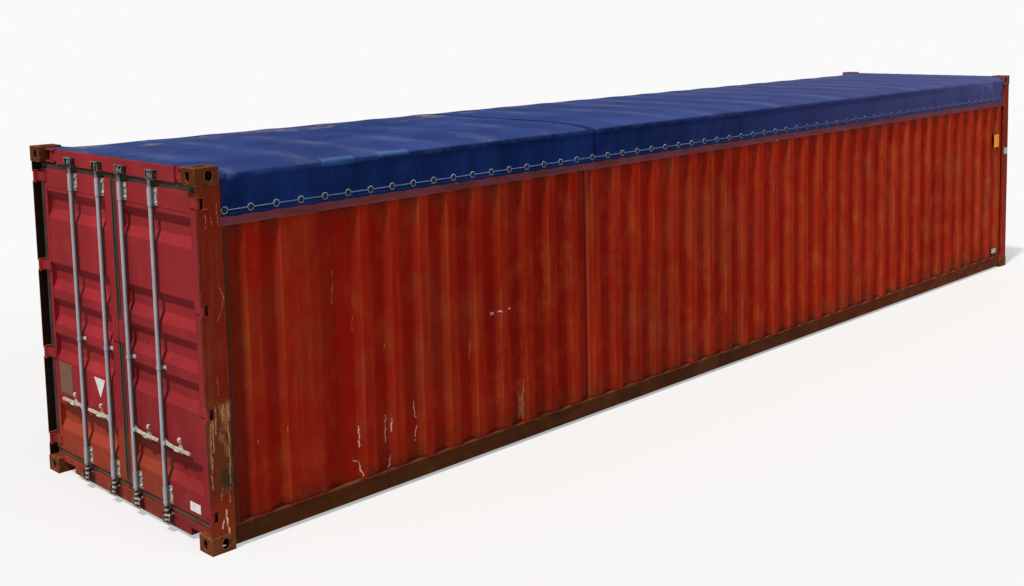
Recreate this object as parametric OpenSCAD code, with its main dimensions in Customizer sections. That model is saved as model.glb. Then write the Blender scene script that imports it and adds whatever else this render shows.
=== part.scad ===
// Forty-foot open-top shipping container with a tarpaulin roof and two hinged end doors.
// X runs along the box from the door end to the front wall, Z is up, and the origin lies
// under the middle of the box on the plane of the bottom corner castings.
// Local frame of the pieces: u is the distance in from the door end, v is the distance in
// from the right side, z is the height. Left-hand pieces are mirrored right-hand ones.

/* [Overall] */
// Length over the corner castings
box_l = 12192; // [9000:1:13700]
// Width over the corner castings
box_w = 2438; // [2200:1:2600]
// Height over the corner castings
box_h = 2591; // [2400:1:2896]

/* [Corner castings] */
// Length of a casting along the box
casting_l = 178; // [170:1:190]
// Width of a casting across the box
casting_w = 162; // [155:1:175]
// Height of a casting
casting_h = 118; // [114:1:124]
// Thickness of the plate with the locking slot
casting_plate = 20; // [16:1:24]
// Thickness of the two outer walls
casting_outer_wall = 30; // [26:1:34]
// Thickness of the two inner walls
casting_inner_wall = 10; // [6:1:11]
// Distance of a locking slot's centre from the end of the box
slot_inset_l = 103.5; // [100:0.5:104]
// Distance of a locking slot's centre from the side of the box
slot_inset_w = 89.5; // [86:0.5:94]
// Length of a locking slot
slot_l = 124; // [118:0.5:126]
// Width of a locking slot
slot_w = 63.5; // [60:0.5:66]
// Width of the upright eyes in the outer walls
eye_w = 51; // [46:1:58]
// Height of the upright eyes
eye_h = 74; // [66:1:76]

/* [Posts] */
// Distance of the post plates in from the side
post_inset = 4; // [2:0.5:5]
// Thickness of the outer post plates
post_plate = 8; // [6:0.5:10]
// Distance of a rear post plate's front edge from the door end
post_front = 6; // [4:1:10]
// Length of a rear post plate, to its back edge
rear_plate_l = 182; // [180:1:190]
// Distance from the door end to the front of the door jamb
jamb_front = 104; // [102:1:115]
// Distance from the side to the inner face of the door jamb
jamb_inner = 49; // [46:1:52]
// Distance from the door end to the back of the rear posts
rear_post_l = 222; // [200:1:250]
// Length of a front post along the box
front_post_l = 138; // [120:1:165]
// Width of a front post across the box
front_post_w = 50; // [46:1:54]

/* [Rails] */
// Distance of the rails and wall crests in from the side
rail_inset = 12; // [12:0.5:16]
// Thickness of the rail plates
rail_plate = 6; // [4:0.5:8]
// Underside of the bottom rails above the ground
bottom_rail_z = 25; // [14:1:34]
// Height of the bottom rails
bottom_rail_h = 136; // [130:1:145]
// Flange width of the bottom rails
bottom_flange = 50; // [46:1:60]
// Height of the top rails
top_rail_h = 325; // [200:1:380]
// Drop from the casting tops to the top of the top rails
top_rail_drop = 76; // [72:1:90]
// Width of the top rails
top_rail_w = 40; // [38:1:46]

/* [Walls] */
// Thickness of the corrugated sheets
sheet_t = 2; // [1.6:0.1:4]
// Depth of the side corrugations
side_depth = 36; // [25:1:38]
// Pitch of the side corrugations
side_pitch = 279; // [260:1:300]
// Flat width of a side crest
side_crest = 72; // [60:1:80]
// Width of a side slope
side_slope = 68; // [50:1:75]
// Distance from the door end to the first crest
first_crest_u = 361; // [355:1:368]
// Flat width of the first crest
first_crest_w = 95; // [80:1:110]
// Distance from the door end to the second, wide crest
second_crest_u = 640; // [636:1:660]
// Flat width of the second crest
second_crest_w = 286; // [250:1:300]
// Distance from the door end to the first regular crest
regular_crest_u = 1306; // [1240:1:1320]
// Pitch of the front wall corrugations
front_pitch = 250; // [230:1:280]
// Flat width of a front crest
front_crest = 110; // [90:1:120]
// Width of a front slope
front_slope = 22; // [18:1:30]
// Depth of the front corrugations
front_depth = 45; // [30:1:50]

/* [Ends] */
// Underside of the sills above the ground
sill_z = 35; // [25:1:45]
// Top of the door sill's front face
sill_top = 133; // [128:1:138]
// Top of the threshold and of the floor
floor_z = 160; // [150:1:160]
// Length of the bottom notches beside the castings
sill_notch_l = 188; // [120:1:240]
// Top of the bottom notches
sill_notch_z = 90; // [70:1:100]
// Drop from the casting tops to the top of the headers
header_drop = 14; // [12:1:20]
// Height of the headers
header_h = 109; // [100:1:115]
// Depth of the headers along the box
header_l = 102; // [80:1:115]
// Drop of the header's inner lip below its front
header_lip = 28; // [15:1:40]
// Distance of a header's end lugs in from the castings
header_lug_l = 177; // [140:1:220]
// Thickness of the header lug plates
header_lug_t = 12; // [8:1:16]
// Diameter of the header pins
header_pin_d = 28; // [20:1:34]

/* [Floor] */
// Thickness of the floor
floor_t = 28; // [20:1:32]
// Pitch of the cross members
cross_pitch = 300; // [250:1:450]
// Flange width of a cross member
cross_flange = 45; // [35:1:60]
// Plate thickness of a cross member
cross_plate = 4; // [3:0.5:6]

/* [Roof] */
// Rise of the tarpaulin's crown below the casting tops
crown_drop = 8; // [6:1:10]
// Fall of the roof from its crown to its side edges
roof_fall = 38; // [30:1:44]
// Thickness of the tarpaulin
tarp_t = 2; // [1.5:0.1:2.4]
// Gap between the tarpaulin and what it lies on
tarp_gap = 0.3; // [0.2:0.1:0.5]
// Distance from either end to the start of the side flaps
flap_start = 185; // [183:1:198]
// Height of the lower edge of the side flaps below the casting tops
flap_drop = 336; // [290:1:390]
// Distance from either end to the ends of the roof sheet
roof_start = 60; // [55:1:80]
// Number of roof bows
bow_count = 21; // [12:1:30]
// Width of a roof bow along the box
bow_w = 40; // [30:1:60]
// Thickness of a roof bow
bow_t = 24; // [20:1:28]
// Diameter of the tarpaulin's closing rope
rope_d = 6; // [5:0.5:7]
// Height of the rope above the lower edge of the flaps
rope_rise = 40; // [25:1:60]

/* [Doors] */
// Distance from the door end to the outer face of the doors
leaf_front = 48; // [46:1:49]
// Thickness of a door
leaf_t = 50; // [48:1:52]
// Distance of the doors from the jambs
leaf_side_gap = 20; // [16:1:26]
// Gap between the two doors
seam_gap = 20; // [16:1:24]
// Height of the gasket below the doors
lower_gasket_h = 51; // [40:1:60]
// Height of the gasket above the doors
upper_gasket_h = 41; // [30:1:50]
// Free gap round the gaskets
gasket_gap = 5; // [4:0.5:7]
// Width of the hinge-side stiles
hinge_stile_w = 86; // [80:1:100]
// Width of the meeting stiles
meeting_stile_w = 104; // [90:1:110]
// Height of the door rails
door_rail_h = 138; // [130:1:150]
// Distance of the panel crests behind the door frame
panel_inset = 2; // [1:0.5:4]
// Depth of the door grooves
groove_depth = 36; // [25:1:38]
// Flat height between neighbouring groove places
groove_land = 70; // [60:1:80]
// Height of a groove's slopes
groove_slope = 70; // [50:1:72]
// Distance of the end grooves from the door rails
groove_margin = 34; // [28:1:44]

/* [Hinges] */
// Distance of the hinge pins from the door end
pin_u = 20; // [19:0.5:21]
// Distance of the hinge pins from the side
pin_v = 20; // [20:0.5:21]
// Diameter of the hinge pins
pin_d = 15; // [12:0.5:16]
// Diameter of the hinge knuckles
knuckle_d = 28; // [26:0.5:30]
// Height of a hinge blade
blade_h = 70; // [56:1:84]
// Thickness of a hinge blade
blade_t = 8; // [6:0.5:10]
// Length of a hinge blade past the door's edge
blade_l = 80; // [60:1:84]
// Height of a hinge lug
lug_h = 14; // [10:1:18]
// Distance of the end hinges from the ends of the door
hinge_end = 68; // [60:1:90]
// Running clearance of the hinge pins
pin_fit = 0.05; // [0.03:0.01:0.1]

/* [Locking gear] */
// Diameter of the locking bars
bar_d = 34; // [30:0.5:36]
// Distance of the bars from the door end
bar_u = 22; // [21.5:0.5:23]
// Distance of the inner bars from the seam
inner_bar_seam = 168; // [160:1:180]
// Distance between the two bars of a door
bar_gap = 427; // [400:1:460]
// Running clearance of the bars in their guides
bar_fit = 0.4; // [0.3:0.1:0.6]
// Outer diameter of a guide sleeve
sleeve_d = 42; // [40:0.5:43]
// Width of a guide's base plate
guide_plate_w = 100; // [80:1:104]
// Thickness of a guide's base plate
guide_plate_t = 5; // [4:0.5:6]
// Height of the end guides
end_guide_h = 126; // [80:1:130]
// Height of the middle guides
mid_guide_h = 28; // [20:1:40]
// Reach of a cam's claw from the bar axis
claw_r = 42; // [36:1:46]
// Height of a cam
cam_h = 40; // [30:1:44]
// Diameter of a cam's hub
cam_hub_d = 40; // [38:0.5:41]
// Height of a cam keeper
keeper_h = 68; // [60:1:76]
// Plate thickness of a cam keeper
keeper_t = 6; // [4:0.5:8]
// Free gap between a cam and its keeper
keeper_gap = 10; // [8:1:14]
// Height of the handles above the ground
handle_z = 640; // [620:1:800]
// Length of a handle from its bar
handle_l = 354; // [300:1:380]
// Thickness of a handle
handle_t = 10; // [8:0.5:12]
// Height of a handle's grip
grip_h = 22; // [18:1:26]
// Distance of a handle's pivot from the bar axis
pivot_r = 34; // [34:1:40]
// Diameter of a handle's pivot pin
pivot_d = 10; // [8:0.5:12]
// Thickness of the ears that carry a handle
ear_t = 6.5; // [5:0.5:7]
// Height of the ears where they join the bar
ear_root_h = 76; // [50:1:90]
// Distance of a handle's catch from the bar axis
catch_r = 186; // [160:1:230]
// Width of a handle's catch
catch_w = 56; // [40:1:70]
// Width of the upright arm of a handle's catch
catch_arm_w = 26; // [20:1:34]
// Thickness of a handle's catch
catch_t = 6; // [5:0.5:7]
// Height of the catch plates at the seam above the ground
seam_plate_z = 1240; // [1150:1:1300]
// Width of the catch plates at the seam
seam_plate_w = 92; // [70:1:98]
// Height of the catch plates at the seam
seam_plate_h = 166; // [120:1:200]
// Thickness of the catch plates at the seam
seam_plate_t = 10; // [6:1:12]

/* [Hidden] */
$fn = 48;
half_w = box_w / 2;
weld = 0.01;
lug_gap = 1;

header_top = box_h - header_drop;
header_z = header_top - header_h;
header_lug_z = box_h - casting_h + lug_gap;
header_pin_u = leaf_front + header_l / 2;
header_pin_v = casting_w + header_lug_l / 2;
header_pin_fit = 0.3;
header_tongue_gap = 50;
header_tongue_step = 12;
header_lug_reach = 142;
leaf_z0 = sill_top + gasket_gap + lower_gasket_h;
leaf_z1 = header_z - gasket_gap - upper_gasket_h;
leaf_v0 = jamb_inner + leaf_side_gap;
leaf_v1 = half_w - seam_gap / 2;
leaf_back = leaf_front + leaf_t;
panel_front = leaf_front + panel_inset;
panel_z0 = leaf_z0 + door_rail_h;
panel_z1 = leaf_z1 - door_rail_h;
panel_v0 = leaf_v0 + hinge_stile_w;
panel_v1 = leaf_v1 - meeting_stile_w;
groove_places = [0, 2, 3, 4, 6];
groove_top_place = 6;
groove_h = (panel_z1 - panel_z0 - 2 * groove_margin - groove_top_place * groove_land)
    / (groove_top_place + 1);
groove_pitch = groove_h + groove_land;
gasket_step = 12;
gasket_front = leaf_front + gasket_step;

bottom_rail_top = bottom_rail_z + bottom_rail_h;
top_rail_top = box_h - top_rail_drop;
top_rail_z = top_rail_top - top_rail_h;
wall_u0 = rear_post_l;
wall_u1 = box_l - front_post_l;
last_slope_room = wall_u1 - regular_crest_u - side_crest - side_slope;
regular_count = floor(last_slope_room / side_pitch) + 1;
side_crests = concat(
    [[first_crest_u, first_crest_u + first_crest_w],
     [second_crest_u, second_crest_u + second_crest_w]],
    [for (i = [0:regular_count - 1])
        [regular_crest_u + i * side_pitch, regular_crest_u + i * side_pitch + side_crest]]);
front_inset = 12;
front_span = box_w - 2 * front_post_w;
front_count = floor((front_span - front_crest - 2 * front_slope) / front_pitch) + 1;
front_v0 = half_w - ((front_count - 1) * front_pitch + front_crest) / 2;
front_crests = [for (i = [0:front_count - 1])
    [front_v0 + i * front_pitch, front_v0 + i * front_pitch + front_crest]];

crown_z = box_h - crown_drop;
flap_v = rail_inset - tarp_gap - tarp_t;
flap_z = box_h - flap_drop;
roof_half = half_w - flap_v;
roof_power = 6;
roof_steps = 8;
rope_v = flap_v - tarp_gap - rope_d / 2;
rope_z = flap_z + rope_rise;
bow_end = 30;
first_bow_gap = 100;
roof_inner = roof_half - tarp_t;
roof_under = [for (i = [0:roof_steps])
    let (y = roof_inner * i / roof_steps) [y, roof_z(y) - tarp_t]];
roof_edge_z = roof_under[roof_steps][1];
roof_end_gap = 10;
rope_end_gap = 12;

lug_neck = 12;
lug_neck_v = pin_v + lug_neck;
pocket_l = 56;
pocket_gap = 2;
strap_u0 = leaf_front - blade_t;
hinge_pitch = (leaf_z1 - leaf_z0 - 2 * hinge_end) / 3;
hinge_z = [for (i = [0:3]) leaf_z0 + hinge_end + i * hinge_pitch];

inner_bar_v = half_w - inner_bar_seam;
outer_bar_v = inner_bar_v - bar_gap;
keeper_edge = 3;
sill_keeper_z = sill_top - keeper_edge - keeper_h;
header_keeper_z = header_z + keeper_edge;
bar_end_gap = 6;
bar_z0 = sill_keeper_z + keeper_t + bar_end_gap;
bar_z1 = header_keeper_z + keeper_h - keeper_t - bar_end_gap;
mid_guide_place = 3;
guide_mid_z = groove_z(mid_guide_place) - groove_land / 2;
keeper_back_t = 3;
keeper_nose = 6;
keeper_nose_step = 4;
cam_root = 12;
claw_tip_r = 8;
pivot_fit = 0.1;
boss_r = 13;
boss_step = 1;
ear_side_gap = 1.5;
neck_l = 90;
grip_drop = 8;
grip_z = handle_z - grip_drop;
shelf_fit = 0.3;
shelf_z = grip_z - grip_h / 2 - shelf_fit;
shelf_reach = 12;
shelf_front = bar_u - shelf_reach;
shelf_rib = 28;
catch_foot = 30;
catch_step = 8;
finger_u = bar_u + handle_t / 2 + gasket_gap;
finger_rise = 34;
finger_z = handle_z + finger_rise;
finger_step = 6;
catch_rise = 62;
catch_top = handle_z + catch_rise;

paint = "firebrick";
rail_paint = "saddlebrown";
post_paint = "sienna";
zinc = "silver";
rubber = "dimgray";
canvas = "midnightblue";

// Places a right-hand piece, drawn in u, v and z, at the right or the left of the box.
module on_side(left) {
    mirror([0, left ? 1 : 0, 0])
        translate([-box_l / 2, -half_w, 0])
            children();
}

module on_both_sides() {
    for (left = [false, true]) on_side(left) children();
}

// Turns a piece of the door end round to the front end.
module at_front() {
    mirror([1, 0, 0]) children();
}

module block(u, v, z) {
    translate([u[0], v[0], z[0]]) cube([u[1] - u[0], v[1] - v[0], z[1] - z[0]]);
}

// Stands a (u, v) outline upright between two heights.
module upright(z0, z1) {
    translate([0, 0, z0]) linear_extrude(z1 - z0) children();
}

// Runs a (u, z) outline across the box between two values of v.
module across(v0, v1) {
    translate([0, v1, 0]) rotate([90, 0, 0]) linear_extrude(v1 - v0) children();
}

// Runs a (v, z) outline along the box between two values of u.
module along(u0, u1) {
    translate([u0, 0, 0]) rotate([90, 0, 90]) linear_extrude(u1 - u0) children();
}

module rod(u, v, z0, z1, d) {
    translate([u, v, z0]) cylinder(h = z1 - z0, d = d);
}

// Oblong hole, long in its first direction.
module oblong(l, w) {
    square([l - w, w], center = true);
    for (s = [-1, 1]) translate([s * (l - w) / 2, 0]) circle(d = w);
}

// Closed outline of a folded sheet that is thickened by one shift.
module folded_sheet(line, shift) {
    n = len(line);
    polygon(concat(line, [for (i = [1:n]) line[n - i] + shift]));
}

// Corrugated line that runs from one recess to the other over the given crests.
function corrugation(start, end, crests, slope, crest, recess) = concat(
    [[start, recess]],
    [for (c = crests) each [[c[0] - slope, recess], [c[0], crest],
        [c[1], crest], [c[1] + slope, recess]]],
    [[end, recess]]);

function roof_z(y) = crown_z - roof_fall * pow(abs(y) / roof_half, roof_power);

// Corner casting with its hollow, its locking slot and its two eyes, slot side down.
module casting() {
    hollow_top = casting_h - casting_plate;
    difference() {
        cube([casting_l, casting_w, casting_h]);
        block([casting_outer_wall, casting_l - casting_inner_wall],
            [casting_outer_wall, casting_w - casting_inner_wall], [casting_plate, hollow_top]);
        translate([slot_inset_l, slot_inset_w, -weld])
            linear_extrude(casting_plate + 2 * weld) oblong(slot_l, slot_w);
        translate([-weld, slot_inset_w, casting_h / 2]) rotate([0, 90, 0])
            linear_extrude(casting_outer_wall + 2 * weld) oblong(eye_h, eye_w);
        translate([slot_inset_l, casting_outer_wall + weld, casting_h / 2])
            rotate([90, 0, 0]) linear_extrude(casting_outer_wall + 2 * weld)
                rotate(90) oblong(eye_h, eye_w);
    }
}

module four_castings() {
    for (front = [0, 1]) mirror([front, 0, 0]) on_both_sides() casting();
}

module bottom_corner_castings() {
    color(post_paint) four_castings();
}

module top_corner_castings() {
    color(post_paint) translate([0, 0, box_h]) mirror([0, 0, 1]) four_castings();
}

// Rear post: an outer plate with hinge pockets, the jamb behind it and the wall flange.
module rear_post() {
    plate_v = post_inset + post_plate;
    post_top = box_h - casting_h;
    difference() {
        block([post_front, rear_plate_l], [post_inset, plate_v], [casting_h, post_top]);
        for (z = hinge_z)
            block([0, pocket_l], [0, plate_v + weld],
                [z - blade_h / 2 - pocket_gap, z + blade_h / 2 + pocket_gap]);
    }
    block([jamb_front, casting_l], [plate_v - weld, jamb_inner], [casting_h, post_top]);
    block([casting_l - weld, rear_post_l], [plate_v, jamb_inner],
        [bottom_rail_top, top_rail_z]);
}

module rear_corner_posts() {
    color(post_paint) on_both_sides() rear_post();
}

// Front post: a folded column with a foot and a head that reach the rails.
module front_post() {
    post_top = box_h - casting_h;
    fill_v = rail_inset + side_depth + sheet_t;
    block([post_front, front_post_l], [post_inset, front_post_w], [casting_h, post_top]);
    block([front_post_l - weld, casting_l], [rail_inset, fill_v], [casting_h, bottom_rail_top]);
    block([front_post_l - weld, casting_l], [rail_inset, fill_v], [top_rail_z, post_top]);
}

module front_corner_posts() {
    color(post_paint) at_front() on_both_sides() front_post();
}

// Channel rail with its web on the outer side, drawn in v and z.
module channel(v, z0, z1, plate, upper, lower) {
    polygon([[v, z0], [v + lower, z0], [v + lower, z0 + plate], [v + plate, z0 + plate],
        [v + plate, z1 - plate], [v + upper, z1 - plate], [v + upper, z1], [v, z1]]);
}

module bottom_side_rails() {
    color(rail_paint) on_both_sides() along(casting_l, box_l - casting_l)
        channel(rail_inset, bottom_rail_z, bottom_rail_top, rail_plate,
            bottom_flange, bottom_flange);
}

// Closed box rail that carries the roof bows.
module top_side_rails() {
    color(paint) on_both_sides() along(casting_l, box_l - casting_l)
        translate([rail_inset, top_rail_z]) difference() {
            square([top_rail_w, top_rail_h]);
            translate([rail_plate, rail_plate])
                square([top_rail_w - 2 * rail_plate, top_rail_h - 2 * rail_plate]);
        }
}

// Door sill: a front beam between the castings, notched below, with the threshold on top.
module door_sill() {
    notch_v = casting_w + sill_notch_l;
    color(paint) on_side(false) {
        difference() {
            block([leaf_front, casting_l], [casting_w, box_w - casting_w],
                [sill_z, casting_h + weld]);
            for (v = [casting_w, box_w - notch_v])
                block([0, casting_l + weld], [v - weld, v + sill_notch_l], [0, sill_notch_z]);
        }
        across(jamb_inner, box_w - jamb_inner)
            polygon([[leaf_front, casting_h], [casting_l, casting_h],
                [casting_l, floor_z], [jamb_front, floor_z], [jamb_front, sill_top],
                [leaf_front, sill_top]]);
    }
}

// Door header: a beam with an inner lip, and tongues at its ends for the pins.
module door_header() {
    beam_v = casting_w + header_lug_l;
    tongue_v = casting_w + header_tongue_gap;
    tongue_z0 = header_lug_z + header_lug_t + lug_gap;
    tongue_z1 = header_top - header_lug_t - lug_gap;
    back = leaf_front + header_l;
    color(paint) on_side(false) difference() {
        union() {
            across(beam_v, box_w - beam_v)
                polygon([[leaf_front, header_z], [jamb_front, header_z],
                    [jamb_front, header_z - header_lip], [back, header_z - header_lip],
                    [back, header_top], [leaf_front, header_top]]);
            block([leaf_front + header_tongue_step, back - header_tongue_step],
                [tongue_v, box_w - tongue_v],
                [tongue_z0, tongue_z1]);
        }
        for (v = [header_pin_v, box_w - header_pin_v])
            rod(header_pin_u, v, header_z, header_top, header_pin_d + 2 * header_pin_fit);
    }
}

// Lug plates on the top castings, with the upright pins that hold the door header.
module header_lugs() {
    reach = casting_w + header_lug_reach;
    back = leaf_front + header_l;
    color(post_paint) on_both_sides() {
        for (z = [header_lug_z, header_top - header_lug_t])
            block([leaf_front, back], [casting_w, reach], [z, z + header_lug_t]);
        rod(header_pin_u, header_pin_v, header_lug_z, header_top, header_pin_d);
    }
}

module front_sill() {
    color(paint) at_front() on_side(false) {
        block([post_front, front_inset + front_depth + sheet_t], [casting_w, box_w - casting_w],
            [sill_z, casting_h + weld]);
        block([post_front, front_inset + front_depth + sheet_t],
            [front_post_w, box_w - front_post_w], [casting_h, floor_z]);
    }
}

module front_header() {
    shoulder = box_h - casting_h;
    color(paint) at_front() on_side(false) {
        block([post_front, post_front + header_l], [casting_w, box_w - casting_w],
            [shoulder - weld, header_top]);
        block([post_front, post_front + header_l], [front_post_w, box_w - front_post_w],
            [header_z - header_lip, shoulder]);
    }
}

module side_wall(left) {
    line = corrugation(wall_u0, wall_u1, side_crests, side_slope,
        rail_inset, rail_inset + side_depth);
    color(paint) on_side(left) upright(bottom_rail_top, top_rail_z)
        folded_sheet(line, [0, sheet_t]);
}

module right_side_wall() {
    side_wall(false);
}

module left_side_wall() {
    side_wall(true);
}

module front_wall() {
    line = [for (p = corrugation(front_post_w, box_w - front_post_w, front_crests, front_slope,
        front_inset, front_inset + front_depth)) [p[1], p[0]]];
    color(paint) at_front() on_side(false) upright(floor_z, header_z - header_lip)
        folded_sheet(line, [sheet_t, 0]);
}

module floor() {
    edge = rail_inset + bottom_flange;
    end = box_l - front_inset - front_depth - sheet_t;
    color("peru") on_side(false)
        block([casting_l, end], [edge, box_w - edge], [floor_z - floor_t, floor_z]);
}

// Channels that carry the floor between the bottom rails.
module cross_members() {
    z0 = bottom_rail_z + rail_plate;
    z1 = floor_z - floor_t;
    v0 = rail_inset + rail_plate;
    room = box_l - 2 * casting_l - 2 * cross_flange;
    count = floor(room / cross_pitch);
    first = casting_l + (room - (count - 1) * cross_pitch) / 2;
    color(rail_paint) on_side(false) for (i = [0:count - 1])
        translate([first + i * cross_pitch, 0, 0]) across(v0, box_w - v0)
            channel(0, z0, z1, cross_plate, cross_flange, cross_flange);
}

// Crowned bow, from one top rail to the other, with its ends seated on the rails.
module roof_bow() {
    seat = half_w - rail_inset - top_rail_w;
    end = half_w - bow_end;
    half_crown = [for (p = roof_under) if (p[0] < end) [p[0], p[1] - tarp_gap]];
    half_belly = [for (p = half_crown) if (p[0] < seat) [p[0], p[1] - bow_t]];
    right_half = concat(half_crown, [[end, lookup(end, roof_under) - tarp_gap],
        [end, top_rail_top], [seat, top_rail_top]]);
    n = len(right_half);
    m = len(half_belly);
    polygon(concat(right_half, [for (i = [1:m]) half_belly[m - i]],
        [for (i = [1:m - 1]) [-half_belly[i][0], half_belly[i][1]]],
        [for (i = [1:n - 1]) [-right_half[n - i][0], right_half[n - i][1]]]));
}

module roof_bows() {
    first = flap_start + first_bow_gap;
    pitch = (box_l - 2 * first - bow_w) / (bow_count - 1);
    color(zinc) translate([-box_l / 2, 0, 0]) for (i = [0:bow_count - 1])
        along(first + i * pitch, first + i * pitch + bow_w) roof_bow();
}

// Crowned top of the tarpaulin.
module tarpaulin() {
    n = len(roof_under);
    edge = [for (p = roof_under) [p[0] * roof_half / roof_inner, p[1] + tarp_t]];
    top = concat([for (i = [1:n - 1]) [-edge[n - i][0], edge[n - i][1]]], edge);
    under = concat([for (i = [1:n]) roof_under[n - i]],
        [for (i = [1:n - 1]) [-roof_under[i][0], roof_under[i][1]]]);
    color(canvas) translate([-box_l / 2, 0, 0]) along(flap_start, box_l - flap_start)
        polygon(concat([[-roof_half, roof_edge_z]], top, [[roof_half, roof_edge_z]], under));
}

// Flaps of the tarpaulin that hang down over the top rails.
module tarp_flaps() {
    color(canvas) on_both_sides()
        block([flap_start, box_l - flap_start], [flap_v, flap_v + tarp_t], [flap_z, roof_edge_z]);
}

// Flat ends of the tarpaulin that lie on the two headers.
module tarp_ends() {
    end_v = casting_w + roof_end_gap;
    color(canvas) for (front = [0, 1]) mirror([front, 0, 0]) on_side(false)
        block([roof_start, flap_start], [end_v, box_w - end_v],
            [header_top + tarp_gap, header_top + tarp_gap + tarp_t]);
}

// Closing rope along each flap, turned up at both ends of the flap.
module tarp_ropes() {
    u0 = flap_start + rope_end_gap;
    color(zinc) on_both_sides() {
        translate([u0, rope_v, rope_z]) rotate([0, 90, 0])
            cylinder(h = box_l - 2 * u0, d = rope_d);
        for (u = [u0, box_l - u0]) {
            rod(u, rope_v, rope_z, top_rail_top, rope_d);
            translate([u, rope_v, rope_z]) sphere(d = rope_d);
        }
    }
}

// Fixed half of the hinges: paired lugs on the posts with a pin through them.
module hinge_lugs() {
    plate_v = post_inset + post_plate;
    color(post_paint) on_both_sides() for (z = hinge_z) {
        low = z - blade_h / 2 - lug_gap - lug_h;
        high = z + blade_h / 2 + lug_gap;
        for (lug_z = [low, high]) upright(lug_z, lug_z + lug_h) intersection() {
            union() {
                translate([pin_u, pin_v]) circle(d = knuckle_d);
                translate([pin_u, plate_v]) square([jamb_front - pin_u, lug_neck_v - plate_v]);
            }
            translate([0, plate_v]) square([jamb_front, half_w]);
        }
        rod(pin_u, pin_v, low, high + lug_h, pin_d);
    }
}

// Cup on the sill or the header that takes a cam between two cheeks, open to the outside.
module cam_keeper(bar_v, floor_up) {
    v0 = bar_v - claw_r - keeper_gap;
    v1 = bar_v + cam_hub_d / 2 + keeper_gap;
    back = leaf_front - keeper_back_t;
    floor_at = floor_up ? 0 : keeper_h - keeper_t;
    block([back, leaf_front], [v0 - keeper_t, v1 + keeper_t], [0, keeper_h]);
    block([bar_u - cam_hub_d / 2, back + weld], [v0 - keeper_t, v1 + keeper_t],
        [floor_at, floor_at + keeper_t]);
    for (v = [v0 - keeper_t, v1])
        across(v, v + keeper_t)
            polygon([[back + weld, 0], [keeper_nose + keeper_nose_step, 0],
                [keeper_nose, keeper_h / 2], [keeper_nose + keeper_nose_step, keeper_h],
                [back + weld, keeper_h]]);
}

module cam_keepers() {
    color(zinc) on_both_sides() for (v = [outer_bar_v, inner_bar_v]) {
        translate([0, 0, sill_keeper_z]) cam_keeper(v, true);
        translate([0, 0, header_keeper_z]) cam_keeper(v, false);
    }
}

module door_frame(left) {
    color(paint) on_side(left) difference() {
        block([leaf_front, leaf_back], [leaf_v0, leaf_v1], [leaf_z0, leaf_z1]);
        block([0, leaf_back + weld], [panel_v0, panel_v1], [panel_z0, panel_z1]);
    }
}

module right_door_frame() {
    door_frame(false);
}

module left_door_frame() {
    door_frame(true);
}

// Door sheet with level grooves pressed into it between the rails.
module door_panel(left) {
    recess = panel_front + groove_depth;
    grooves = [for (place = groove_places) let (z = groove_z(place))
        each [[panel_front, z], [recess, z + groove_slope],
            [recess, z + groove_h - groove_slope], [panel_front, z + groove_h]]];
    line = concat([[panel_front, panel_z0]], grooves, [[panel_front, panel_z1]]);
    color(paint) on_side(left) across(panel_v0, panel_v1) folded_sheet(line, [sheet_t, 0]);
}

// Lower edge of a groove at a place counted up from the bottom of the door.
function groove_z(place) = panel_z0 + groove_margin + groove_pitch * place;

module right_door_panel() {
    door_panel(false);
}

module left_door_panel() {
    door_panel(true);
}

// Rubber lip round the door, a little clear of the jamb, the sill, the header and the seam.
module door_gasket(left) {
    color(rubber) on_side(left) difference() {
        block([gasket_front, leaf_back], [jamb_inner + gasket_gap, half_w - gasket_gap],
            [sill_top + gasket_gap, header_z - gasket_gap]);
        block([0, leaf_back + weld], [leaf_v0, leaf_v1], [leaf_z0, leaf_z1]);
    }
}

module right_door_gasket() {
    door_gasket(false);
}

module left_door_gasket() {
    door_gasket(true);
}

// Moving half of the hinges: a knuckle on the pin and a strap over the door's edge.
module hinge_blades(left) {
    color(paint) on_side(left) for (z = hinge_z) difference() {
        upright(z - blade_h / 2, z + blade_h / 2) {
            translate([pin_u, pin_v]) circle(d = knuckle_d);
            polygon([[pin_u, lug_neck_v], [strap_u0, pin_v + knuckle_d],
                [strap_u0, leaf_v0 + blade_l], [leaf_front, leaf_v0 + blade_l],
                [leaf_front, pin_v + blade_t], [pin_u + blade_t, pin_v - blade_t]]);
        }
        rod(pin_u, pin_v, z - blade_h, z + blade_h, pin_d + 2 * pin_fit);
    }
}

module right_hinge_blades() {
    hinge_blades(false);
}

module left_hinge_blades() {
    hinge_blades(true);
}

// Guide that holds a bar to the door: a sleeve on a foot with a base plate.
module bar_guide(v, z0, z1, seat_u) {
    difference() {
        union() {
            rod(bar_u, v, z0, z1, sleeve_d);
            block([bar_u, seat_u], [v - sleeve_d / 2, v + sleeve_d / 2], [z0, z1]);
            block([seat_u - guide_plate_t, seat_u],
                [v - guide_plate_w / 2, v + guide_plate_w / 2], [z0, z1]);
        }
        rod(bar_u, v, z0 - weld, z1 + weld, bar_d + 2 * bar_fit);
    }
}

module bar_guides(left) {
    end_gap = (door_rail_h - end_guide_h) / 2;
    color(zinc) on_side(left) for (v = [outer_bar_v, inner_bar_v]) {
        bar_guide(v, leaf_z0 + end_gap, leaf_z0 + end_gap + end_guide_h, leaf_front);
        bar_guide(v, leaf_z1 - end_gap - end_guide_h, leaf_z1 - end_gap, leaf_front);
        bar_guide(v, guide_mid_z - mid_guide_h / 2, guide_mid_z + mid_guide_h / 2, panel_front);
    }
}

module right_bar_guides() {
    bar_guides(false);
}

module left_bar_guides() {
    bar_guides(true);
}

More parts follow.
